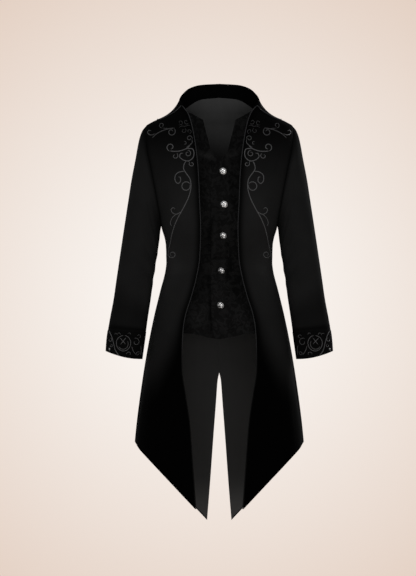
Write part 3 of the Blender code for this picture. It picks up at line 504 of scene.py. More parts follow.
def armhole_loop(angles):
    """The armhole seam, with the coat's normals, at the angles of the sleeve's rings."""
    points, normals = [], []
    for angle in angles:
        face = FRONT if angle <= math.pi else BACK
        height = armhole_height(min(angle, 2 * math.pi - angle) / math.pi * ARMHOLE_STEPS)
        points.append((armhole_side(height), face * armhole_reach(height, face), height))
        normals.append(body_normal(height, side_turn(height, face), face))
    return np.array(points), np.array(normals)


def tube_normals(rings):
    """Outward normals of a tube's rings."""
    across = np.roll(rings, -1, axis=1) - np.roll(rings, 1, axis=1)
    normals = unit(np.cross(across, np.gradient(rings, axis=0)))
    return outward(normals, rings - rings.mean(axis=1, keepdims=True))


def sleeve_surface():
    """The sleeve's rings with their creases. Its seam sinks along with the coat's cloth."""
    loop, coat_normals = armhole_loop(RING_ANGLES)
    shift = loop - sleeve_ring(0.0, RING_ANGLES)
    alongs = np.linspace(0, 1, SLEEVE_ROWS + 1)
    rings = np.array(
        [sleeve_ring(a, RING_ANGLES) + shift * max(0.0, 1 - a / SLEEVE_HEAD) ** 2 for a in alongs]
    )
    normals = tube_normals(rings)
    degrees, along = np.meshgrid(np.degrees(RING_ANGLES), alongs)
    relief = crease_relief(SLEEVE_CREASES, degrees, along, (SLEEVE_AROUND, SLEEVE_LENGTH))
    relief = relief * (ease(along / SLEEVE_CALM[0]) * ease((1 - along) / SLEEVE_CALM[1]))
    sink = SEAM_SINK * bell(along * SLEEVE_LENGTH, SEAM_WIDTH) * ease(abs(loop[:, 2] - PIT) / PIT_CALM)
    return rings + normals * relief[..., None] - coat_normals * sink[..., None], normals


def cuff_surface():
    alongs = np.linspace(1, CUFF_ALONG, CUFF_ROWS + 1)
    rings = np.array([sleeve_ring(along, RING_ANGLES) for along in alongs])
    return rings, tube_normals(rings)


CUFF_NEAR = (0.02, 0.004)  # steps round and along the cuff that give its normals


def cuff_places(places, back=False):
    """Points and normals on the cuff's outside for places given as the front view shows them."""
    points, normals = [], []
    for side, height in places:
        low, high = 1.0, CUFF_ALONG
        for _ in range(24):  # each round halves the stretch of cuff that is left
            along = (low + high) / 2
            outer, inner = sleeve_ring(along, np.array((0.0, math.pi)))
            middle, reach = (outer + inner) / 2, (outer - inner) / 2
            cosine = min(max((side - middle[0]) / reach[0], -0.999), 0.999)
            low, high = (along, high) if middle[2] + reach[2] * cosine > height else (low, along)
        angle = math.acos(cosine) * (-1 if back else 1)
        near = np.array((angle - CUFF_NEAR[0], angle, angle + CUFF_NEAR[0]))
        here, there = sleeve_ring(along, near), sleeve_ring(along + CUFF_NEAR[1], near)
        normal = outward(unit(np.cross(here[2] - here[0], there[1] - here[1])), here[1] - middle)
        points.append(here[1] + normal * (COAT_CLOTH / 2 + CUFF_PROUD))
        normals.append(normal)
    return np.array(points), np.array(normals)


# The collar

COLLAR_COLUMNS = {FRONT: 40, BACK: 60}
COLLAR_ROWS = 18
NECK_LINING_COLUMNS = 40
NECK_LINING_ROWS = 8
NECK_LINING_START = -0.015  # a little over its seam, so that no line shows


def collar_seam_point(along):
    """A point of the collar's lower seam, with the coat's normal: 0 in front, 2 in the back."""
    face, share = (FRONT, along) if along <= 1 else (BACK, 2 - along)
    height, turn = seam_place(share, face)
    return body_point(height, turn, face), body_normal(height, turn, face)


def collar_profile(along, shares):
    """The collar's hollow curve from its lower seam (0) to its rim (1) at one place along it."""
    seam = collar_seam_point(along)[0]
    rim = np.array([Curve(COLLAR_RIM, k, "along")(along) for k in ("side", "depth", "height")])
    pull = seam + (rim - seam) * (COLLAR_LEAN, COLLAR_LEAN, COLLAR_LIFT)
    t = shares[:, None]
    return (1 - t) ** 2 * seam + 2 * t * (1 - t) * pull + t * t * rim


def collar_sheet(columns):
    """A grid, with its outward normals, from the profiles of the left half and its mirror image."""
    left = np.array(columns).transpose(1, 0, 2)
    points = np.concatenate((left, left[:, -2::-1] * SIDES["right"]), axis=1)
    normals = unit(np.cross(np.gradient(points, axis=1), np.gradient(points, axis=0)))
    return points, outward(normals, points - points.mean(axis=(0, 1)) * (0, 0, 1))


def collar_surface():
    front = np.linspace(0, 1, COLLAR_COLUMNS[FRONT] + 1)
    back = np.linspace(1, 2, COLLAR_COLUMNS[BACK] + 1)
    shares = np.linspace(0, 1, COLLAR_ROWS + 1)
    return collar_sheet([collar_profile(along, shares) for along in (*front, *back[1:])])


def neck_lining_surface():
    top = Curve(NECK_LINE, "share", "along")
    points, normals = collar_sheet([
        collar_profile(along, np.linspace(NECK_LINING_START, top(along), NECK_LINING_ROWS + 1))
        for along in np.linspace(NECK_LINE[0].along, 2, NECK_LINING_COLUMNS + 1)
    ])
    return points - normals * NECK_LINING_DEPTH, normals


# The waistcoat

WAISTCOAT_COLUMNS = 44
WAISTCOAT_ROWS = 190
WAISTCOAT_COLLAR_ROWS = 36
WAISTCOAT_CALM = 0.012  # how far from the coat's edge the creases have faded in


def waistcoat_points(side, height, under=False):
    """Points of the waistcoat's mid surface, and their normals, from front-view places."""
    open_half = front_edge_side(height)
    depth = WAISTCOAT_DEPTH + WAISTCOAT_SETBACK * np.maximum(0.0, 1 - (side / open_half) ** 2)
    depth = depth + WAISTCOAT_TUCK * ease((height - WAISTCOAT_NECK) / WAISTCOAT_TUCK_OVER)
    if under:
        depth = depth + LAP_STEP * ease((side - lap_over(height)) / LAP_FADE + 2)
    calm = ease((open_half - abs(side)) / WAISTCOAT_CALM)
    relief = crease_relief(WAISTCOAT_CREASES, side, height) * calm
    turn = turn_at(side, height, FRONT)
    normals = body_normal(height, turn, FRONT)
    return body_point(height, turn, FRONT) - normals * (depth - relief)[..., None], normals


def waistcoat_front_surface(sign):
    """One waistcoat front, from its lapped edge to its edge under the coat."""
    lap = lap_over if sign > 0 else lap_under
    sides, heights = [], []
    for share in np.linspace(0, 1, WAISTCOAT_ROWS + 1):
        level = waistcoat_top(0) + (waistcoat_hem(0) - waistcoat_top(0)) * share
        outer = sign * (front_edge_side(level) + WAISTCOAT_OVERLAP)
        row = np.linspace(lap(level), outer, WAISTCOAT_COLUMNS + 1)
        top, hem = waistcoat_top(abs(row)), waistcoat_hem(abs(row))
        sides.append(row)
        heights.append(top + (hem - top) * share)
    return waistcoat_points(np.array(sides), np.array(heights), under=sign < 0)


def waistcoat_collar_surface(sign):
    """One half of the waistcoat's stand collar, from the seam up to its cut-away corner."""
    seam_end = front_edge_side(waistcoat_top(0)) + WAISTCOAT_OVERLAP
    row = np.linspace(COLLAR_START, seam_end, WAISTCOAT_COLUMNS + 1)
    low = np.stack((row, waistcoat_top(row) + GAP), axis=1)
    across = np.linspace(0, 1, WAISTCOAT_COLUMNS + 1)[:, None]
    high = COLLAR_POINT + (COLLAR_OUTER_TOP - COLLAR_POINT) * across
    grid = np.array([low + (high - low) * r for r in np.linspace(0, 1, WAISTCOAT_COLLAR_ROWS + 1)])
    return waistcoat_points(sign * grid[..., 0], grid[..., 1], under=sign < 0)


# Making pieces

def dress(piece, finish, slot, *nodes):
    """Gives a piece its finish, lets it ride on the coat and replace the solids it stands for."""
    piece.data.materials.append(finish)
    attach(piece, "root")
    if nodes:
        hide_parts(*nodes)


def keep(piece, name, values):
    """Keeps a number for each point of a piece, which its finish reads."""
    layer = piece.data.attributes.new(name, "FLOAT", "POINT")
    values = np.broadcast_to(values, len(piece.data.vertices))
    layer.data.foreach_set("value", values.astype(np.float32))


def make_piece(name, points, faces, places=None, sharp=35):
    """A closed body with all faces turned out, and its cloth laid flat in metres as its map."""
    mesh = bpy.data.meshes.new(name)
    mesh.from_pydata(np.asarray(points).tolist(), [], faces)
    if places is not None:
        layer = mesh.uv_layers.new(name="cloth")
        corners = np.zeros(len(mesh.loops), int)
        mesh.loops.foreach_get("vertex_index", corners)
        layer.data.foreach_set("uv", np.asarray(places)[corners].astype(np.float32).ravel())
    body = bmesh.new()
    body.from_mesh(mesh)
    bmesh.ops.recalc_face_normals(body, faces=body.faces)
    body.to_mesh(mesh)
    body.free()
    mesh.shade_smooth()
    mesh.set_sharp_from_angle(angle=math.radians(sharp))
    piece = bpy.data.objects.new(name, mesh)
    bpy.context.scene.collection.objects.link(piece)
    return piece


def grid_numbers(rows, columns, closed, base=0):
    """The numbers of a grid's points. A closed grid ends with its first column again."""
    numbers = base + np.arange(rows * columns).reshape(rows, columns)
    return np.hstack((numbers, numbers[:, :1])) if closed else numbers


def grid_faces(numbers):
    """The faces between the neighbours of a numbered grid."""
    corners = numbers[:-1, :-1], numbers[:-1, 1:], numbers[1:, 1:], numbers[1:, :-1]
    return np.stack(corners, axis=-1).reshape(-1, 4).tolist()


def cloth_wall(name, points, normals, thickness, closed=False, lift=0.0):
    """A thin wall of cloth on a grid of points, open at its edges or closed into a tube."""
    both = [points + normals * (lift + half) for half in (thickness / 2, -thickness / 2)]
    numbers = grid_numbers(*points.shape[:2], closed)
    under = points.shape[0] * points.shape[1]
    faces = grid_faces(numbers)
    faces += [[number + under for number in reversed(face)] for face in faces]
    rims = [numbers[0], numbers[-1]] + ([] if closed else [numbers[:, 0], numbers[:, -1]])
    for rim in rims:
        faces += np.stack((rim[:-1], rim[1:], rim[1:] + under, rim[:-1] + under), axis=1).tolist()
    flat = np.stack((walked(points, 1), -walked(points, 0)), axis=-1).reshape(-1, 2)
    return make_piece(name, np.concatenate(both).reshape(-1, 3), faces, np.tile(flat, (2, 1)))


def even_steps(line, step):
    """The same line, walked in even steps."""
    run = walked(line)
    at = np.linspace(0, run[-1], max(4, int(run[-1] / step) + 1))
    return np.stack([np.interp(at, run, line[:, k]) for k in range(line.shape[1])], axis=1)


STITCH_STEP = 0.0012
BENDS = 12  # steps between two places of a smooth line


def smooth_line(points):
    """A smooth line through a few points."""
    first, last = 2 * points[:1] - points[1:2], 2 * points[-1:] - points[-2:-1]
    padded = np.concatenate((first, points, last))
    t = np.linspace(0, 1, BENDS, endpoint=False)[:, None]
    parts = [
        0.5 * (2 * b + (c - a) * t + (2 * a - 5 * b + 4 * c - d) * t**2 + (3 * b - a - 3 * c + d) * t**3)
        for a, b, c, d in zip(padded, padded[1:], padded[2:], padded[3:])
    ]
    return even_steps(np.concatenate((*parts, points[-1:])), STITCH_STEP)


def strand_rings(points, normals, half_width, half_height, segments, twist=None):
    """The rings of a rounded strand that lies along its points. twist is its ply's pitch and depth."""
    tangents = unit(np.gradient(points, axis=0))
    across = unit(np.cross(normals, tangents))
    out = np.cross(tangents, across)
    angles = np.linspace(0, 2 * math.pi, segments, endpoint=False)
    run = walked(points)[:, None]
    reach = 1.0
    if twist:
        pitch, depth = twist
        reach = 1 - depth * (1 - abs(np.sin(angles - math.pi * run / pitch)))
    half_width = np.broadcast_to(half_width, len(points))[:, None]
    wide = (reach * np.cos(angles) * half_width)[..., None] * across[:, None]
    high = (reach * np.sin(angles) * half_height)[..., None] * out[:, None]
    places = np.stack(np.broadcast_arrays(angles * half_width, run), axis=-1)
    return points[:, None] + wide + high, places


def make_strands(name, strands, fades=()):
    """One piece from the rings of several strands, each closed at its ends."""
    points, faces, places = [], [], []
    base = 0
    for rings, flat in strands:
        numbers = grid_numbers(*rings.shape[:2], True, base)
        faces += grid_faces(numbers) + [numbers[0, :-1].tolist(), numbers[-1, -2::-1].tolist()]
        points.append(rings.reshape(-1, 3))
        places.append(flat.reshape(-1, 2))
        base += len(points[-1])
    points = np.concatenate(points)
    piece = make_piece(name, points, faces, np.concatenate(places), sharp=70)
    # tone: painted shade by height, from the fades
    keep(piece, "tone", faded(points[:, 2], 1, *fades))
    return piece


# Finishes

def linear(colour):
    """An sRGB hex colour as linear red, green, blue and alpha."""
    values = [int(colour[i : i + 2], 16) / 255 for i in (1, 3, 5)]
    return (*[v / 12.92 if v <= 0.04045 else ((v + 0.055) / 1.055) ** 2.4 for v in values], 1.0)


def wire(node, settings=(), links=()):
    """Sets a node's sockets, by name or number, and properties, and links its inputs.

    A link comes from a socket, or from a node's first output.
    """
    for key, value in dict(settings).items():
        if isinstance(key, str) and key not in node.inputs:
            setattr(node, key, value)
        else:
            node.inputs[key].default_value = value
    for key, source in dict(links).items():
        socket = source.outputs[0] if isinstance(source, bpy.types.Node) else source
        node.id_data.links.new(socket, node.inputs[key])
    return node


def add(tree, kind, settings=(), links=()):
    """Adds a node with its settings and links."""
    return wire(tree.nodes.new(kind), settings, links)


def start_finish(name, settings):
    """A new material with its shader's own settings, its nodes and its shader."""
    material = bpy.data.materials.new(name)
    material.use_nodes = True
    tree = material.node_tree
    return material, tree, wire(tree.nodes["Principled BSDF"], settings)


def colour_and_raise(tree, shader, share, deep, lit, height, strength, depth):
    """Gives a shader a colour between two, by a share, and raises its surface by a height."""
    colour = add(tree, "ShaderNodeMix", {"data_type": "RGBA", 6: linear(deep), 7: linear(lit)}, {0: share})
    bump = add(tree, "ShaderNodeBump", {"Strength": strength, "Distance": depth}, {"Height": height})
    wire(shader, (), {"Base Color": colour.outputs[2], "Normal": bump})


def uneven_tone(tree, texture, settings):
    """The tone that is set on a piece, on most pieces painted light and shade, made a little uneven by a
    texture.
    """
    tone = add(tree, "ShaderNodeAttribute", {"attribute_name": "tone"}).outputs["Fac"]
    uneven = add(tree, "ShaderNodeMapRange", settings, {"Value": texture})
    return add(tree, "ShaderNodeMath", {"operation": "MULTIPLY"}, {0: tone, 1: uneven})


WAVE_PERIOD = 0.314  # a wave texture of scale 1 repeats after this many units
TWILL_SLANT = math.radians(58)


def twill_weave(tree, pitch):
    """The height of a twill's diagonal ribs, a pitch apart in metres."""
    flat = add(tree, "ShaderNodeUVMap", {"uv_map": "cloth"})
    turned = add(tree, "ShaderNodeMapping", {"Rotation": (0, 0, TWILL_SLANT)}, {"Vector": flat})
    ribs = add(tree, "ShaderNodeTexWave", {"Scale": WAVE_PERIOD / pitch, "Distortion": 0.6},
               {"Vector": turned})
    return ribs.outputs["Fac"]


def worsted_twill(name, lit, deep):
    """Black worsted wool, woven in a fine twill: a dull cloth with a faint bloom of fibre.

    Its twill of about 0.5 mm is drawn at 1.6 mm, so that it shows. Its tone, from the deep to the
    lit colour, is set on the pieces as painted light and shade, deepest in the skirt.
    """
    material, tree, shader = start_finish(
        name, {"Roughness": 0.82, "Specular IOR Level": 0.004, "Sheen Weight": 0.003,
               "Sheen Roughness": 0.5, "Sheen Tint": linear("#8c8c8c")}
    )
    place = add(tree, "ShaderNodeTexCoord").outputs["Object"]
    slub = add(tree, "ShaderNodeTexNoise", {"Scale": 16.0, "Detail": 3.0}, {"Vector": place})
    tone = uneven_tone(tree, slub, {"To Min": 0.8, "To Max": 1.2})
    fuzz = add(tree, "ShaderNodeTexNoise", {"Scale": 900.0, "Detail": 2.0}, {"Vector": place})
    height = add(tree, "ShaderNodeMath", {"operation": "ADD"}, {0: twill_weave(tree, 0.0016), 1: fuzz})
    colour_and_raise(tree, shader, tone, deep, lit, height, 0.35, 0.0003)
    return material


def cotton_velvet():
    """Black cotton velvet, cut pile: it swallows light, and only its folds catch a little."""
    material, tree, shader = start_finish(
        "black_cotton_velvet", {"Roughness": 0.95, "Specular IOR Level": 0.004, "Sheen Weight": 0.003,
                                "Sheen Roughness": 0.4, "Sheen Tint": linear("#808080")}
    )
    place = add(tree, "ShaderNodeTexCoord").outputs["Object"]
    pile = add(tree, "ShaderNodeTexNoise", {"Scale": 60.0, "Detail": 4.0}, {"Vector": place})
    tips = add(tree, "ShaderNodeTexNoise", {"Scale": 1400.0, "Detail": 1.0}, {"Vector": place})
    colour_and_raise(tree, shader, pile, "#010101", "#030303", tips, 0.3, 0.0003)
    return material


def silk_brocade():
    """Black figured brocade: a matt leafy figure of about 12 mm on a satin ground, softly crushed."""
    material, tree, shader = start_finish(
        "black_figured_brocade", {"Specular IOR Level": 0.03, "Sheen Weight": 0.004,
                                  "Sheen Roughness": 0.4, "Sheen Tint": linear("#808080")}
    )
    place = add(tree, "ShaderNodeTexCoord").outputs["Object"]
    leaves = add(tree, "ShaderNodeTexNoise", {"Scale": 62.0, "Detail": 1.0, "Distortion": 1.5},
                 {"Vector": place})
    figure = add(tree, "ShaderNodeMapRange", {"From Min": 0.44, "From Max": 0.57}, {"Value": leaves})
    crush = add(tree, "ShaderNodeTexNoise", {"Scale": 30.0, "Detail": 2.0}, {"Vector": place})
    # tone: the waistcoat's painted light and shade, made uneven by the crush
    tone = uneven_tone(tree, crush, {"From Min": 0.3, "From Max": 0.7, "To Min": 0.7, "To Max": 1.25})
    ground, matt = (
        add(tree, "ShaderNodeMix", {"data_type": "RGBA", 6: linear("#010101"), 7: linear(lit)}, {0: tone})
        for lit in ("#0d0d0d", "#0a0a0a")
    )
    colour = add(tree, "ShaderNodeMix", {"data_type": "RGBA"},
                 {0: figure, 6: ground.outputs[2], 7: matt.outputs[2]})
    rough = add(tree, "ShaderNodeMapRange", {"To Min": 0.45, "To Max": 0.85}, {"Value": figure})
    height = add(tree, "ShaderNodeMath", {"operation": "MULTIPLY_ADD", 1: 1.5},
                 {0: figure, 2: twill_weave(tree, 0.0009)})
    bump = add(tree, "ShaderNodeBump", {"Strength": 0.5, "Distance": 0.0004}, {"Height": height})
    wire(shader, (), {"Base Color": colour.outputs[2], "Roughness": rough, "Normal": bump})
    return material


def acetate_satin():
    """Dark grey acetate satin, warp-faced: smooth, with long soft streaks down the cloth."""
    material, tree, shader = start_finish(
        "grey_lining_satin", {"Roughness": 0.6, "Specular IOR Level": 0.05, "Sheen Weight": 0.01,
                              "Sheen Roughness": 0.4, "Sheen Tint": linear("#b0b0b0")}
    )
    place = add(tree, "ShaderNodeTexCoord").outputs["Object"]
    long = add(tree, "ShaderNodeMapping", {"Scale": (34.0, 34.0, 3.0)}, {"Vector": place})
    streak = add(tree, "ShaderNodeTexNoise", {"Scale": 1.0, "Detail": 3.0}, {"Vector": long})
    # tone: painted light and shade on the back lining, made uneven by the streaks
    tone = uneven_tone(tree, streak, {"To Min": 0.85, "To Max": 1.15})
    colour_and_raise(tree, shader, tone, "#080808", "#3c3c3c", twill_weave(tree, 0.0007), 0.2, 0.0002)
    return material


def rayon_thread(name, lit, deep, pitch, gloss):
    """Grey rayon thread, laid side by side: soft bright tops with dark lines between the threads.

    Its tone, set on the pieces, goes from black to these colours; on the piping and the chest scrolls it
    carries painted shade.
    """
    material, tree, shader = start_finish(
        name, {"Roughness": 0.55, "Specular IOR Level": gloss, "Sheen Weight": gloss / 6,
               "Sheen Roughness": 0.4}
    )
    flat = add(tree, "ShaderNodeUVMap", {"uv_map": "cloth"})
    lay = add(tree, "ShaderNodeTexWave", {"bands_direction": "Y", "Scale": WAVE_PERIOD / pitch,
                                          "Distortion": 0.8}, {"Vector": flat}).outputs["Fac"]
    tone = add(tree, "ShaderNodeAttribute", {"attribute_name": "tone"}).outputs["Fac"]
    # the deep colour is painted shade in the lines between the threads
    threads = add(tree, "ShaderNodeMix", {"data_type": "RGBA", 6: linear(deep), 7: linear(lit)}, {0: lay})
    colour = add(tree, "ShaderNodeMix", {"data_type": "RGBA", 6: linear("#010101")},
                 {0: tone, 7: threads.outputs[2]})
    bump = add(tree, "ShaderNodeBump", {"Strength": 0.4, "Distance": 0.0002}, {"Height": lay})
    wire(shader, (), {"Base Color": colour.outputs[2], "Normal": bump})
    return material


def antique_silver():
    """Cast white metal, silver-plated, blackened and rubbed: bright tops, dark hollows."""
    material, tree, shader = start_finish("antique_silver_casting", {"Metallic": 1.0})
    # the attribute holds the wear on the high places and a painted highlight on one side
    top = add(tree, "ShaderNodeAttribute", {"attribute_name": "rubbed_and_painted_light"}).outputs["Fac"]
    place = add(tree, "ShaderNodeTexCoord").outputs["Object"]
    cast = add(tree, "ShaderNodeTexNoise", {"Scale": 700.0, "Detail": 3.0}, {"Vector": place})
    shine = add(tree, "ShaderNodeMapRange", {"From Min": 0.15, "From Max": 0.8}, {"Value": top})
    colour_and_raise(tree, shader, shine, "#1c1c1c", "#ffffff", cast, 0.25, 0.0001)
    rough = add(tree, "ShaderNodeMapRange", {"To Min": 0.55, "To Max": 0.24}, {"Value": shine})
    wire(shader, (), {"Roughness": rough})
    return material


COAT_TWILL = worsted_twill("black_worsted_twill", "#1c1c1c", "#010101")
CUFF_TWILL = worsted_twill("black_cuff_twill", "#0a0a0a", "#010101")
VELVET = cotton_velvet()
BROCADE = silk_brocade()
LINING_SATIN = acetate_satin()
PIPING_THREAD = rayon_thread("grey_piping_thread", "#282829", "#0f0f10", 0.0009, 0.03)
CUFF_THREAD = rayon_thread("dark_cuff_embroidery_thread", "#363637", "#19191a", 0.0007, 0.3)
SCROLL_THREAD = rayon_thread("grey_embroidery_thread", "#3d3d3e", "#1e1e1f", 0.0007, 0.2)
SILVER = antique_silver()


# How light each cloth is drawn: its painted light and shade

# As the photo shows it, it is deep in the skirt, beside the seams and over the breast, and lighter
# at the waist. A tone is a share, from 0 for black to 1. A fade is where it starts, how far it
# goes down (below 0: up) and how much it changes the tone.

# Painted light: lighter strips on the coat, mostly about the waist.
COAT_PAINTED_LIGHT = {
    FRONT: table(
        CREASE,
        (0.86, -0.470, 0.84, -0.330, 0.060, 0.60), (0.60, -0.400, 0.58, -0.440, 0.045, 0.32),
        (0.95, -0.520, 0.97, -0.680, 0.040, 0.40), (0.40, -0.210, 0.34, -0.300, 0.035, 0.18),
    ),
    BACK: table(
        CREASE,
        (0.50, -0.400, 0.45, -0.280, 0.080, 0.32), (0.22, -0.180, 0.22, -0.260, 0.045, 0.12),
    ),
}
COAT_TONE = 0.51
COAT_CONTRAST = 0.74  # how strongly the table above shows
SKIRT_PAINTED_SHADE = (-0.440, 0.180, 0.160)  # where the skirt's painted shade starts, how much lower at the side, its run
SKIRT_PAINTED_SHADE_SIDE = (0.06, -0.12, 1.0)  # by the distance from the middle
# Painted shade over the shoulders and the top of the breast.
SHOULDER_TONE = 0.10
SHOULDER_FADE = (-0.020, 0.225, 0.90)
SHADE_WIDTH = 0.011
SEAM_SHADE = 0.80
SEAM_SHADE_FADE = (PIT - 0.02, -0.02, 1.0)
EDGE_SHADE = 0.85
BACK_FADE = (0.95, 0.40, 0.42)  # painted light over the back's middle, by the turn
# The skirt's painted shade on the back: this share in the middle, all of it at the side.
BACK_SKIRT_SHARE = 0.45
BACK_SKIRT_FADE = (0.45, -0.50, 0.55)
SLEEVE_TONE = 0.52
SLEEVE_FADE = (0.70, -0.18, -0.23)  # painted shade toward its end, by the share of its length
SLEEVE_SHADES = ((0, 0.009, -0.30), (0.985, 0.00864, -0.20))  # place, width in metres, change
# Painted light on the sleeve's inner side.
INNER_SLEEVE = 0.55
INNER_SLEEVE_FADES = ((0.2, -1.0, 1.0), (0.12, -0.15, 1.0))  # round the sleeve and along it
# Painted shade over the sleeve's head.
SLEEVE_HEAD_TONE = 0.35
SLEEVE_HEAD_FADE = (-0.045, 0.11, 0.65)
# Painted light and shade on the lining, by its height.
LINING_TONE = 0.52
LINING_FADES = ((-0.06, 0.08, -0.36), (-0.30, 0.20, 0.18), (-0.62, 0.30, -0.15), (-0.955, 0.10, 0.30))
# Painted shade on the piping, deep down the skirt, and on the chest scrolls toward the shoulder.
CORD_FADES = ((-0.09, 0.08, -0.10), (-0.58, 0.12, -0.85))
SCROLL_FADES = ((-0.105, -0.030, -0.55),)
PLAIN_TONE = 0.5
# Painted light and shade along the waistcoat's creases and seams.
WAISTCOAT_TONES = table(
    CREASE,
    (-0.021, -0.284, -0.026, -0.396, 0.0068, -0.64), (-0.011, -0.317, -0.017, -0.383, 0.0081, 0.35),
    (-0.021, -0.391, 0.026, -0.3915, 0.0032, -0.75), (0.028, -0.396, 0.022, -0.448, 0.0095, -0.64),
    (0.018, -0.343, 0.028, -0.388, 0.0061, -0.56), (-0.028, -0.420, -0.021, -0.586, 0.0041, -0.72),
    (-0.064, -0.474, -0.037, -0.448, 0.0203, -0.56), (0.054, -0.487, 0.038, -0.448, 0.0203, -0.67),
    (-0.044, -0.527, -0.064, -0.566, 0.0149, 0.29), (0.002, -0.448, 0.005, -0.592, 0.0175, 0.26),
    (0.035, -0.537, 0.068, -0.556, 0.0149, 0.22), (-0.031, -0.245, -0.018, -0.225, 0.0121, 0.26),
    (0.038, -0.160, 0.041, -0.245, 0.0121, -0.64), (-0.047, -0.147, -0.044, -0.245, 0.0095, -0.35),
    (0.028, -0.180, 0.030, -0.196, 0.0095, -0.40), (-0.055, -0.116, -0.012, -0.131, 0.0061, 0.64),
    (0.016, -0.127, 0.055, -0.111, 0.0061, 0.56), (-0.052, -0.134, -0.016, -0.148, 0.0108, -0.48),
    (0.020, -0.142, 0.052, -0.128, 0.0108, -0.56), (0.004, -0.165, 0.008, -0.176, 0.0162, -0.48),
)
WAISTCOAT_TONE = 0.51
WAISTCOAT_SHADE = 0.42
WAISTCOAT_SHADE_WIDTH = 0.019
WAISTCOAT_COLLAR_FADE = (-0.113, -0.012, -0.75)


def faded(place, tone, *fades):
    """The tone at a place, such as a height, after some fades."""
    for start, run, change in fades:
        tone = tone + change * ease((start - place) / run)
    return tone


def coat_tone(points, face):
    """The tone of a coat panel, from its grid of points: its painted light and shade."""
    side, height = abs(points[..., 0]), points[..., 2]
    turn = turn_at(side, height, face)
    # skirt: the share of the skirt's painted shade
    start, lower, run = SKIRT_PAINTED_SHADE
    skirt = ease((start - lower * faded(side, 0, SKIRT_PAINTED_SHADE_SIDE) - height) / run)
    tone = COAT_TONE + COAT_CONTRAST * crease_relief(COAT_PAINTED_LIGHT[face], turn, height, (AROUND, 1.0))
    from_edge = walked(points, 1)
    beside_seam = bell(from_edge[:, -1:] - from_edge, SHADE_WIDTH)
    tone = tone * (1 - SEAM_SHADE * beside_seam * faded(height, 0, SEAM_SHADE_FADE))
    if face == FRONT:
        tone = tone * (1 - EDGE_SHADE * bell(from_edge, SHADE_WIDTH))
    else:
        skirt = skirt * faded(turn, BACK_SKIRT_SHARE, BACK_SKIRT_FADE)
        tone = faded(turn, tone, BACK_FADE)
    return tone * (1 - skirt) * faded(height, SHOULDER_TONE, SHOULDER_FADE)


def sleeve_tone(rings):
    """The sleeve's painted light and shade: painted shade over the shoulder and at its end, painted light
    on its inner side.
    """
    along = np.linspace(0, 1, len(rings))[:, None]
    tone = faded(along, SLEEVE_TONE, SLEEVE_FADE)
    for place, width, change in SLEEVE_SHADES:
        tone = tone + change * bell((along - place) * SLEEVE_LENGTH, width)
    round_fade, along_fade = INNER_SLEEVE_FADES
    inner = faded(-np.cos(RING_ANGLES), 0, round_fade) * faded(along, 0, along_fade)
    return tone * (1 + INNER_SLEEVE * inner) * faded(rings[..., 2], SLEEVE_HEAD_TONE, SLEEVE_HEAD_FADE)


def waistcoat_tone(points):
    """The brocade's painted light and shade: painted shade beside the coat's edges, darker in its collar,
    and light and shade along its creases.
    """
    side, height = points[..., 0], points[..., 2]
    beside = bell(np.maximum(0, front_edge_side(height) - abs(side)), WAISTCOAT_SHADE_WIDTH)
    tone = (WAISTCOAT_TONE - WAISTCOAT_SHADE * beside) * faded(height, 1, WAISTCOAT_COLLAR_FADE)
    return tone + crease_relief(WAISTCOAT_TONES, side, height)


# The pieces of the coat

COAT = (COAT_CLOTH, COAT_TWILL, "coat_cloth")  # a cloth's thickness, finish and slot
CUFF = (COAT_CLOTH + CUFF_PROUD, CUFF_TWILL, "cuff_cloth")
COLLAR = (COLLAR_CLOTH, VELVET, "collar_cloth")
LINING = (LINING_CLOTH, LINING_SATIN, "lining_satin")
WAISTCOAT = (WAISTCOAT_CLOTH, BROCADE, "waistcoat_brocade")


def sew(name, node, cloth, grid, tone=None, mirror=1, closed=False, lift=0.0):
    """A wall of a cloth, on a grid of points and normals, with its tone."""
    thickness, finish, slot = cloth
    points, normals = grid
    piece = cloth_wall(name, points * mirror, normals * mirror, thickness, closed, lift)
    if tone is not None:
        tone = np.broadcast_to(tone, points.shape[:2]).ravel()
        keep(piece, "tone", np.clip(np.tile(tone, 2), 0, 1))
    dress(piece, finish, slot, node)
    return piece


def make_fronts():
    front = panel_surface(FRONT)
    tone = coat_tone(front[0], FRONT)
    for side, mirror in SIDES.items():
        piece = sew(f"coat_front_{side}", f"front_{side}", COAT, front, tone, mirror)
    return front


def make_backs():
    points, normals = panel_surface(BACK)
    tone = coat_tone(points, BACK)
    lining = points.copy()
    lining[-1] += unit(lining[-2] - lining[-1]) * LINING_HEM
    lining_tone = faded(lining[..., 2], LINING_TONE, *LINING_FADES)
    for side, mirror in SIDES.items():
        piece = sew(f"coat_back_{side}", f"back_{side}", COAT, (points, normals), tone, mirror)
        inner = sew(f"back_lining_{side}", f"lining_{side}", LINING, (lining, normals), lining_tone, mirror,
                    lift=-LINING_DEPTH)


def make_sleeves():
    rings, cuff = sleeve_surface(), cuff_surface()
    tone = sleeve_tone(rings[0])
    for side, mirror in SIDES.items():
        sleeve = sew(f"coat_sleeve_{side}", f"sleeve_{side}", COAT, rings, tone, mirror, closed=True)
        turn_up = sew(f"turned_cuff_{side}", f"cuff_{side}", CUFF, cuff, PLAIN_TONE, mirror, closed=True,
                      lift=CUFF_PROUD / 2)


def make_collar():
    collar = sew("stand_collar", "collar", COLLAR, collar_surface())
    lining = sew("neck_facing", "neck_lining", LINING, neck_lining_surface(), PLAIN_TONE)


CORD_PLY = (0.0042, 0.16)
CORD_SEGMENTS = 10
CORD_STEP = 0.0008
CORD_TUCK = 0.0005  # how far an edge's cord is drawn in from the collar
SEAM_CORD_SHARES = np.linspace(0.02, 0.95, 30)


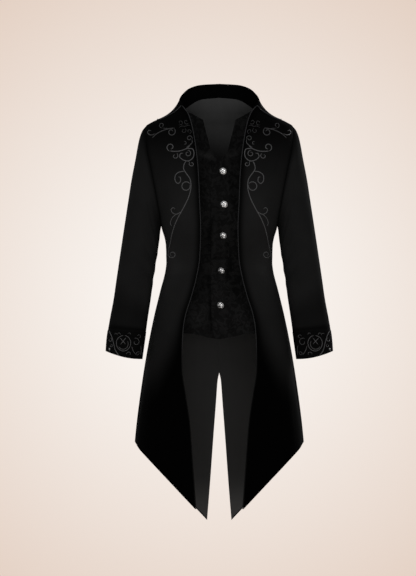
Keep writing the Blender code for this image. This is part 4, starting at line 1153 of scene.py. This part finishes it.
def make_pipings(points, normals):
    """A twisted cord along each open edge and along the collar seam in front."""
    away = unit(np.cross(np.gradient(points[:, 0], axis=0), normals[:, 0]))
    away = -away if away[-1, 0] > 0 else away
    edge = points[:, 0] + away * (PIPING_RADIUS + GAP)
    edge[0] += unit(edge[1] - edge[0]) * CORD_TUCK
    seam, seam_out = np.array([collar_seam_point(share) for share in SEAM_CORD_SHARES]).transpose(1, 0, 2)
    seam = seam + seam_out * (COAT_CLOTH / 2 + PIPING_RADIUS)
    cords = ("edge_cord", "piping", edge, normals[:, 0]), ("seam_cord", "seam_piping", seam, seam_out)
    for name, node, line, out in cords:
        out = unit(even_steps(np.concatenate((line, out), axis=1), CORD_STEP)[:, 3:])
        line = even_steps(line, CORD_STEP)
        out = out[np.linspace(0, len(out) - 1, len(line)).round().astype(int)]
        for side, mirror in SIDES.items():
            rings = strand_rings(line * mirror, out * mirror, PIPING_RADIUS, PIPING_RADIUS,
                                 CORD_SEGMENTS, CORD_PLY)
            piece = make_strands(f"{name}_{side}", [rings], CORD_FADES)
            dress(piece, PIPING_THREAD, "piping_cord", f"{node}_{side}")


def make_waistcoat():
    for side, sign in (("left", 1), ("right", -1)):
        grid = waistcoat_front_surface(sign)
        front = sew(f"waistcoat_front_{side}", f"waistcoat_{side}", WAISTCOAT, grid,
                    waistcoat_tone(grid[0]))
        grid = waistcoat_collar_surface(sign)
        stand = sew(f"waistcoat_stand_{side}", f"waistcoat_collar_{side}", WAISTCOAT, grid,
                    waistcoat_tone(grid[0]))


# Buttons

# Each is a dome with a boss, petals and a rope rim. Their places and heights are shares of its
# radius.

BUTTON_POLISH = (1.0, 1.0, 0.66, 0.56, 0.66)  # the lower ones are duller
BUTTON_SEGMENTS = 96
ROPE_START = 0.80
BUTTON_REACHES = np.concatenate((np.linspace(0.02, 0.78, 26), np.linspace(ROPE_START, 1, 13)))[::-1]
BUTTON_EDGE = 0.15
DOME_HEIGHT = 0.15
BOSS = (0.20, 0.17)  # its reach and height
PETALS = (5, 0.6, 0.19)  # how many, the angle at which they start and their height
PETAL_REACH = (0.22, 0.56)  # where they start and how long they are
ROPE = (0.90, 0.09, 0.10)  # its middle, half width and height
ROPE_STRANDS = (30, 28, 0.035)  # how many, their slant and their height
RUBBED_HEIGHT = 0.11  # what stands this high is rubbed fully bright
WORN = 0.74
PAINTED_HIGHLIGHT_ANGLE = 3.9  # the side that has the painted highlight; the opposite side gets painted shade
PAINTED_HIGHLIGHT_SIDE = (0.76, 0.50)  # how strong the painted highlight and shade are, and how much of that polish takes away
ROPE_DULL = 0.30
STUD_ALONG = 1 + 0.82 * (CUFF_ALONG - 1)
STUD_ANGLE = math.radians(37.5)
STUD_RADIUS = 0.0055 * 0.75
STUD_POLISH = 0.32


def button_relief(reach, angle):
    """How high boss, petals and rope rim stand on the dome at one reach from the middle."""
    middle, half_width, height = ROPE
    strands, slant, strand_height = ROPE_STRANDS
    rope = math.sqrt(max(0, 1 - ((reach - middle) / half_width) ** 2))
    rope = rope * (height + strand_height * np.cos(strands * angle + slant * (reach - middle)))
    count, start, height = PETALS
    petal = height * abs(np.cos(count / 2 * angle + start)) ** 0.8
    petal = petal * math.sin(math.pi * min(max((reach - PETAL_REACH[0]) / PETAL_REACH[1], 0), 1))
    boss = BOSS[1] * math.sqrt(max(0, 1 - (reach / BOSS[0]) ** 2))
    return np.maximum(petal, boss) + rope


def make_button(name, node, centre, normal, radius, polish):
    """A cast button, rubbed bright on its high places, with a painted highlight on one side and painted
    shade on the other.
    """
    first = unit(np.cross(normal, (0, 0, 1)))
    angles = np.linspace(0, 2 * math.pi, BUTTON_SEGMENTS, endpoint=False)
    rays = np.outer(np.cos(angles), first) + np.outer(np.sin(angles), np.cross(normal, first))
    points = [centre + rays * radius]
    rubbed_and_painted_light = [np.zeros(BUTTON_SEGMENTS)]
    for reach in BUTTON_REACHES:
        relief = button_relief(reach, angles)
        height = BUTTON_EDGE + DOME_HEIGHT * (1 - reach**2) + relief
        points.append(centre + radius * (rays * reach + np.outer(height, normal)))
        # painted highlight on one side and painted shade on the other, over the wear; the rope rim is
        # duller
        worn_and_painted_light = WORN + (PAINTED_HIGHLIGHT_SIDE[0] - PAINTED_HIGHLIGHT_SIDE[1] * polish) * np.cos(angles - PAINTED_HIGHLIGHT_ANGLE)
        worn_and_painted_light = worn_and_painted_light - ROPE_DULL * (reach > ROPE_START)
        rubbed_and_painted_light.append(np.clip(relief / RUBBED_HEIGHT, 0, 1) * worn_and_painted_light * polish)
    numbers = grid_numbers(len(points), BUTTON_SEGMENTS, True)
    crown = len(points) * BUTTON_SEGMENTS
    faces = grid_faces(numbers)
    faces += [(a, b, crown) for a, b in zip(numbers[-1].tolist(), numbers[-1, 1:].tolist())]
    faces += [(b, a, crown + 1) for a, b in zip(numbers[0].tolist(), numbers[0, 1:].tolist())]
    top = centre + normal * radius * (BUTTON_EDGE + DOME_HEIGHT + BOSS[1])
    piece = make_piece(name, np.concatenate((*points, [top, centre])), faces)
    keep(piece, "rubbed_and_painted_light", np.concatenate((*rubbed_and_painted_light, [polish, 0])))
    dress(piece, SILVER, "button_metal", node)


def make_buttons():
    for number, (place, polish) in enumerate(zip(BUTTONS, BUTTON_POLISH), 1):
        points, normals = waistcoat_points(np.array([place.side]), np.array([place.height]))
        centre = points[0] + normals[0] * (WAISTCOAT_CLOTH / 2 + place.lift)
        make_button(f"silver_button_{number}", f"waistcoat_button_{number}", centre, normals[0],
                    BUTTON_RADIUS, polish)
    place = sleeve_ring(STUD_ALONG, np.array([STUD_ANGLE]))[0]
    points, normals = cuff_places([(place[0], place[2])])
    centre = points[0] + normals[0] * GAP
    for side, mirror in SIDES.items():
        make_button(f"cuff_stud_{side}", f"cuff_button_{side}", centre * mirror, normals[0] * mirror,
                    STUD_RADIUS, STUD_POLISH)


# Embroidery

# Stems run through a few places and curls wind in, in millimetres as the front shows the
# wearer's left side.
Stem = namedtuple("Stem", "width places")
Curl = namedtuple("Curl", "width centre radius start turns inner")  # inner: the share it winds in to
CHEST_SCROLLS = (
    # across the shoulder
    Stem(2.2, ((175, -77), (163, -66), (148, -58), (132, -53), (117, -51))),
    Stem(2.2, ((166, -66), (178, -69), (186, -64), (184, -57), (177, -58))),
    Curl(2.2, (125, -61), 11, 130, 1.1, 0.35),
    Stem(1.6, ((131, -53), (140, -52), (148, -51))),
    Curl(1.7, (150, -44), 7, 260, 1.0, 0.45),
    # small petals beside the collar
    Curl(1.0, (102, -37), 7, 300, -0.95, 0.3),
    Curl(1.0, (86, -35), 7, 210, 0.95, 0.3),
    Stem(0.9, ((106, -50), (98, -46), (90, -47), (82, -44), (76, -46))),
    Curl(1.0, (93, -58), 7, 110, 1.0, 0.3),
    Curl(1.1, (79, -60), 6.5, 260, -1.0, 0.3),
    # over the breast
    Curl(1.9, (78, -78), 7.5, 200, -1.1, 0.4),
    Stem(1.9, ((71, -81), (71, -89), (77, -96), (86, -102))),
    Curl(1.6, (90, -91), 5, 60, 0.7, 0.4),
    Curl(2.3, (127, -101), 10.5, 285, 0.95, 0.45),
    Stem(2.3, ((77, -98), (86, -105), (103, -111), (118, -112), (129, -111))),
    Stem(2.3, ((84, -105), (70, -106), (66, -117), (69, -129), (80, -137), (93, -135), (103, -127),
               (101, -118), (94, -117))),
    Curl(2.0, (82, -118), 8.5, 85, 1.05, 0.4),
    Curl(2.0, (115, -124), 8, 120, 0.9, 0.4),
    Curl(2.0, (72, -145), 7, 40, -1.0, 0.35),
    Stem(2.0, ((82, -136), (79, -139), (77, -142))),
    # down to the waist
    Stem(2.3, ((87, -137), (92, -147), (93, -158), (88, -167), (77, -183), (74, -198), (75, -214),
               (81, -234), (90, -253), (98, -268), (109, -288), (118, -310), (125, -336), (130, -362),
               (132, -379))),
    Curl(2.3, (122, -381), 10, 15, -1.25, 0.35),
    Stem(2.2, ((90, -164), (104, -166), (114, -174), (115, -188), (108, -196), (101, -190), (102, -180),
               (107, -179))),
    Curl(2.2, (86.5, -203), 11.5, 150, -0.97, 0.9),
    Stem(2.1, ((97, -268), (111, -276), (122, -272), (125, -263), (119, -259), (115, -263))),
    Stem(1.9, ((112, -276), (122, -285), (127, -298), (124, -307))),
)
CUFF_SCROLLS = (
    Stem(1.9, ((287, -581), (280, -596), (275, -614), (271, -628), (261, -642))),
    Curl(1.7, (250.5, -611), 18.5, 100, 0.97, 0.96),
    Curl(1.4, (251, -612), 13.5, 330, -0.5, 0.9),
    Stem(1.6, ((244, -598), (250, -605), (258, -614))),
    Stem(1.6, ((260, -598), (253, -605), (245, -613))),
    Curl(1.6, (219, -609), 10, 60, 0.9, 0.4),
    Stem(1.6, ((230, -618), (226, -630), (219, -641))),
    Curl(1.4, (214, -638), 5, 160, -1.1, 0.4),
    Stem(1.4, ((207, -618), (206, -630), (207, -642))),
    Curl(1.4, (284, -604), 5, 90, 0.9, 0.5),
    Curl(1.4, (282, -618), 4, 90, 0.9, 0.5),
    Curl(1.2, (270, -591), 4, 200, -0.5, 0.8),
    Curl(1.2, (262, -590), 4, 200, -0.5, 0.8),
    Curl(1.2, (236, -590), 4, 200, -0.5, 0.8),
    Curl(1.4, (211, -596), 5, 20, 0.8, 0.4),
    Curl(1.4, (237, -637), 6, 0, 0.6, 0.6),
)
STITCH_HEIGHT = 0.0006
STITCH_TAPER = 0.005
STITCH_END = 0.45  # the share of its width that a stitch has at its ends
STITCH_SEGMENTS = 8
CURL_STEPS = 80


def scroll_lines(table):
    """Each stem and curl as a line of places in metres, with its width."""
    for row in table:
        if isinstance(row, Stem):
            line = smooth_line(np.array(row.places) / 1000)
        else:
            share = np.linspace(0, 1, CURL_STEPS)
            reach = row.radius * (1 - (1 - row.inner) * share)
            angle = math.radians(row.start) + 2 * math.pi * row.turns * share
            line = np.stack((reach * np.cos(angle), reach * np.sin(angle)), axis=1)
            line = even_steps((line + row.centre) / 1000, STITCH_STEP)
        yield line, row.width / 1000


def satin_stitch(line, width, points, normals):
    """A raised band of satin stitch that lies on the cloth and narrows at its ends."""
    run = np.linspace(0, 1, len(line)) * walked(line)[-1]
    ends = ease(np.minimum(run, run[-1] - run) / STITCH_TAPER)
    half = width / 2 * (STITCH_END + (1 - STITCH_END) * ends)
    return strand_rings(points, normals, half, STITCH_HEIGHT, STITCH_SEGMENTS)


def make_embroidery():
    chest, cuff = [], []
    for line, width in scroll_lines(CHEST_SCROLLS):
        side, height = line.T
        turn = turn_at(side, height, FRONT)
        normals = body_normal(height, turn, FRONT)
        relief = crease_relief(BODY_CREASES[FRONT], turn, height, (AROUND, 1.0))
        relief = relief * ease((turn - front_edge_turn(height)) / EDGE_CALM) + COAT_CLOTH / 2
        chest.append((line, width, body_point(height, turn, FRONT) + normals * relief[:, None], normals))
    for line, width in scroll_lines(CUFF_SCROLLS):
        cuff += [(line, width, *cuff_places(line, back)) for back in (False, True)]
    kinds = ("chest_scrolls", chest, SCROLL_THREAD, SCROLL_FADES), ("cuff_scrolls", cuff, CUFF_THREAD, ())
    for side, mirror in SIDES.items():
        for name, rows, thread, fades in kinds:
            strands = [satin_stitch(line, width, p * mirror, n * mirror) for line, width, p, n in rows]
            dress(make_strands(f"{name}_{side}", strands, fades), thread, "piping_cord")


# The studio

PHOTO_ROWS = 576
PIXEL = 0.00262
VIEW_CENTRE = (-0.0296, -0.469)
CAMERA_DISTANCE = 36.0
SENSOR = 36.0
FLOOR_LEVEL = -1.33
FLOOR_RADIUS = 2.2
GLOW_CENTRE = (0.0, 1.0, -0.00045)
GLOW = (0.0067, 0.0261)  # where the backdrop starts to darken, and where it is darkest
SOFTBOXES = table(
    "name place aim size power",
    ("key", (-0.7, -3.8, 1.5), (0, 0, -0.3), (2.0, 2.0), 44),
    ("low_fill", (0.3, -4.0, -0.75), (0, 0, -0.75), (2.4, 1.2), 40),
    ("back_left", (3.0, 3.4, 1.0), (0, 0, -0.4), (1.2, 1.6), 170),
    ("back_right", (-3.0, 3.4, 0.4), (0, 0, -0.4), (1.2, 1.6), 20),
)


def make_camera():
    camera = bpy.data.objects.new("camera", bpy.data.cameras.new("camera"))
    camera.location = (VIEW_CENTRE[0], -CAMERA_DISTANCE, VIEW_CENTRE[1])
    camera.rotation_euler = (math.radians(90), 0, 0)
    camera.data.sensor_width = SENSOR
    camera.data.lens = SENSOR * CAMERA_DISTANCE / (PHOTO_ROWS * PIXEL)
    bpy.context.scene.collection.objects.link(camera)
    bpy.context.scene.camera = camera


def make_floor():
    bpy.ops.mesh.primitive_circle_add(
        vertices=128, radius=FLOOR_RADIUS, fill_type="NGON", location=(0, 0, FLOOR_LEVEL)
    )
    floor = bpy.context.object
    floor.name = "studio_floor"
    # matt emulsion paint, rolled on: an even pale colour with no shine
    paint = start_finish("pale_matt_floor", {"Base Color": linear("#d6cbc1"), "Roughness": 0.9})[0]
    floor.data.materials.append(paint)


def add_softbox(box):
    light = bpy.data.lights.new(box.name, "AREA")
    light.shape = "RECTANGLE"
    light.size, light.size_y = box.size
    light.energy = box.power
    lamp = bpy.data.objects.new(box.name, light)
    lamp.location = box.place
    lamp.visible_camera = False
    x, y, z = np.subtract(box.aim, box.place)
    lamp.rotation_euler = (math.atan2(math.hypot(x, y), -z), 0, math.atan2(-x, y))
    bpy.context.scene.collection.objects.link(lamp)


def make_backdrop():
    """A warm pale backdrop, softly brighter behind the coat, that lights it only gently."""
    world = bpy.data.worlds.new("studio")
    bpy.context.scene.world = world
    world.use_nodes = True
    tree = world.node_tree
    tree.nodes.clear()
    way = add(tree, "ShaderNodeTexCoord").outputs["Generated"]
    off = add(tree, "ShaderNodeVectorMath", {"operation": "DISTANCE", 1: GLOW_CENTRE}, {0: way})
    spread = add(tree, "ShaderNodeMapRange", {"From Min": GLOW[0], "From Max": GLOW[1]},
                 {"Value": off.outputs["Value"]})
    colour = add(tree, "ShaderNodeMix",
                 {"data_type": "RGBA", 6: linear("#f8f2ed"), 7: linear("#e4d1c4")}, {0: spread})
    seen = add(tree, "ShaderNodeBackground", {"Strength": 1.0}, {"Color": colour.outputs[2]})
    fill = add(tree, "ShaderNodeBackground", {"Color": linear("#fbfbfb"), "Strength": 0.85})
    camera_ray = add(tree, "ShaderNodeLightPath").outputs["Is Camera Ray"]
    both = add(tree, "ShaderNodeMixShader", (), {0: camera_ray, 1: fill, 2: seen})
    add(tree, "ShaderNodeOutputWorld", (), {"Surface": both})


front_grid = make_fronts()
make_backs()
make_sleeves()
make_collar()
make_pipings(*front_grid)
make_waistcoat()
make_buttons()
make_embroidery()
make_camera()
make_floor()
make_backdrop()
for box in SOFTBOXES:
    add_softbox(box)
bpy.context.scene.view_settings.view_transform = "Standard"
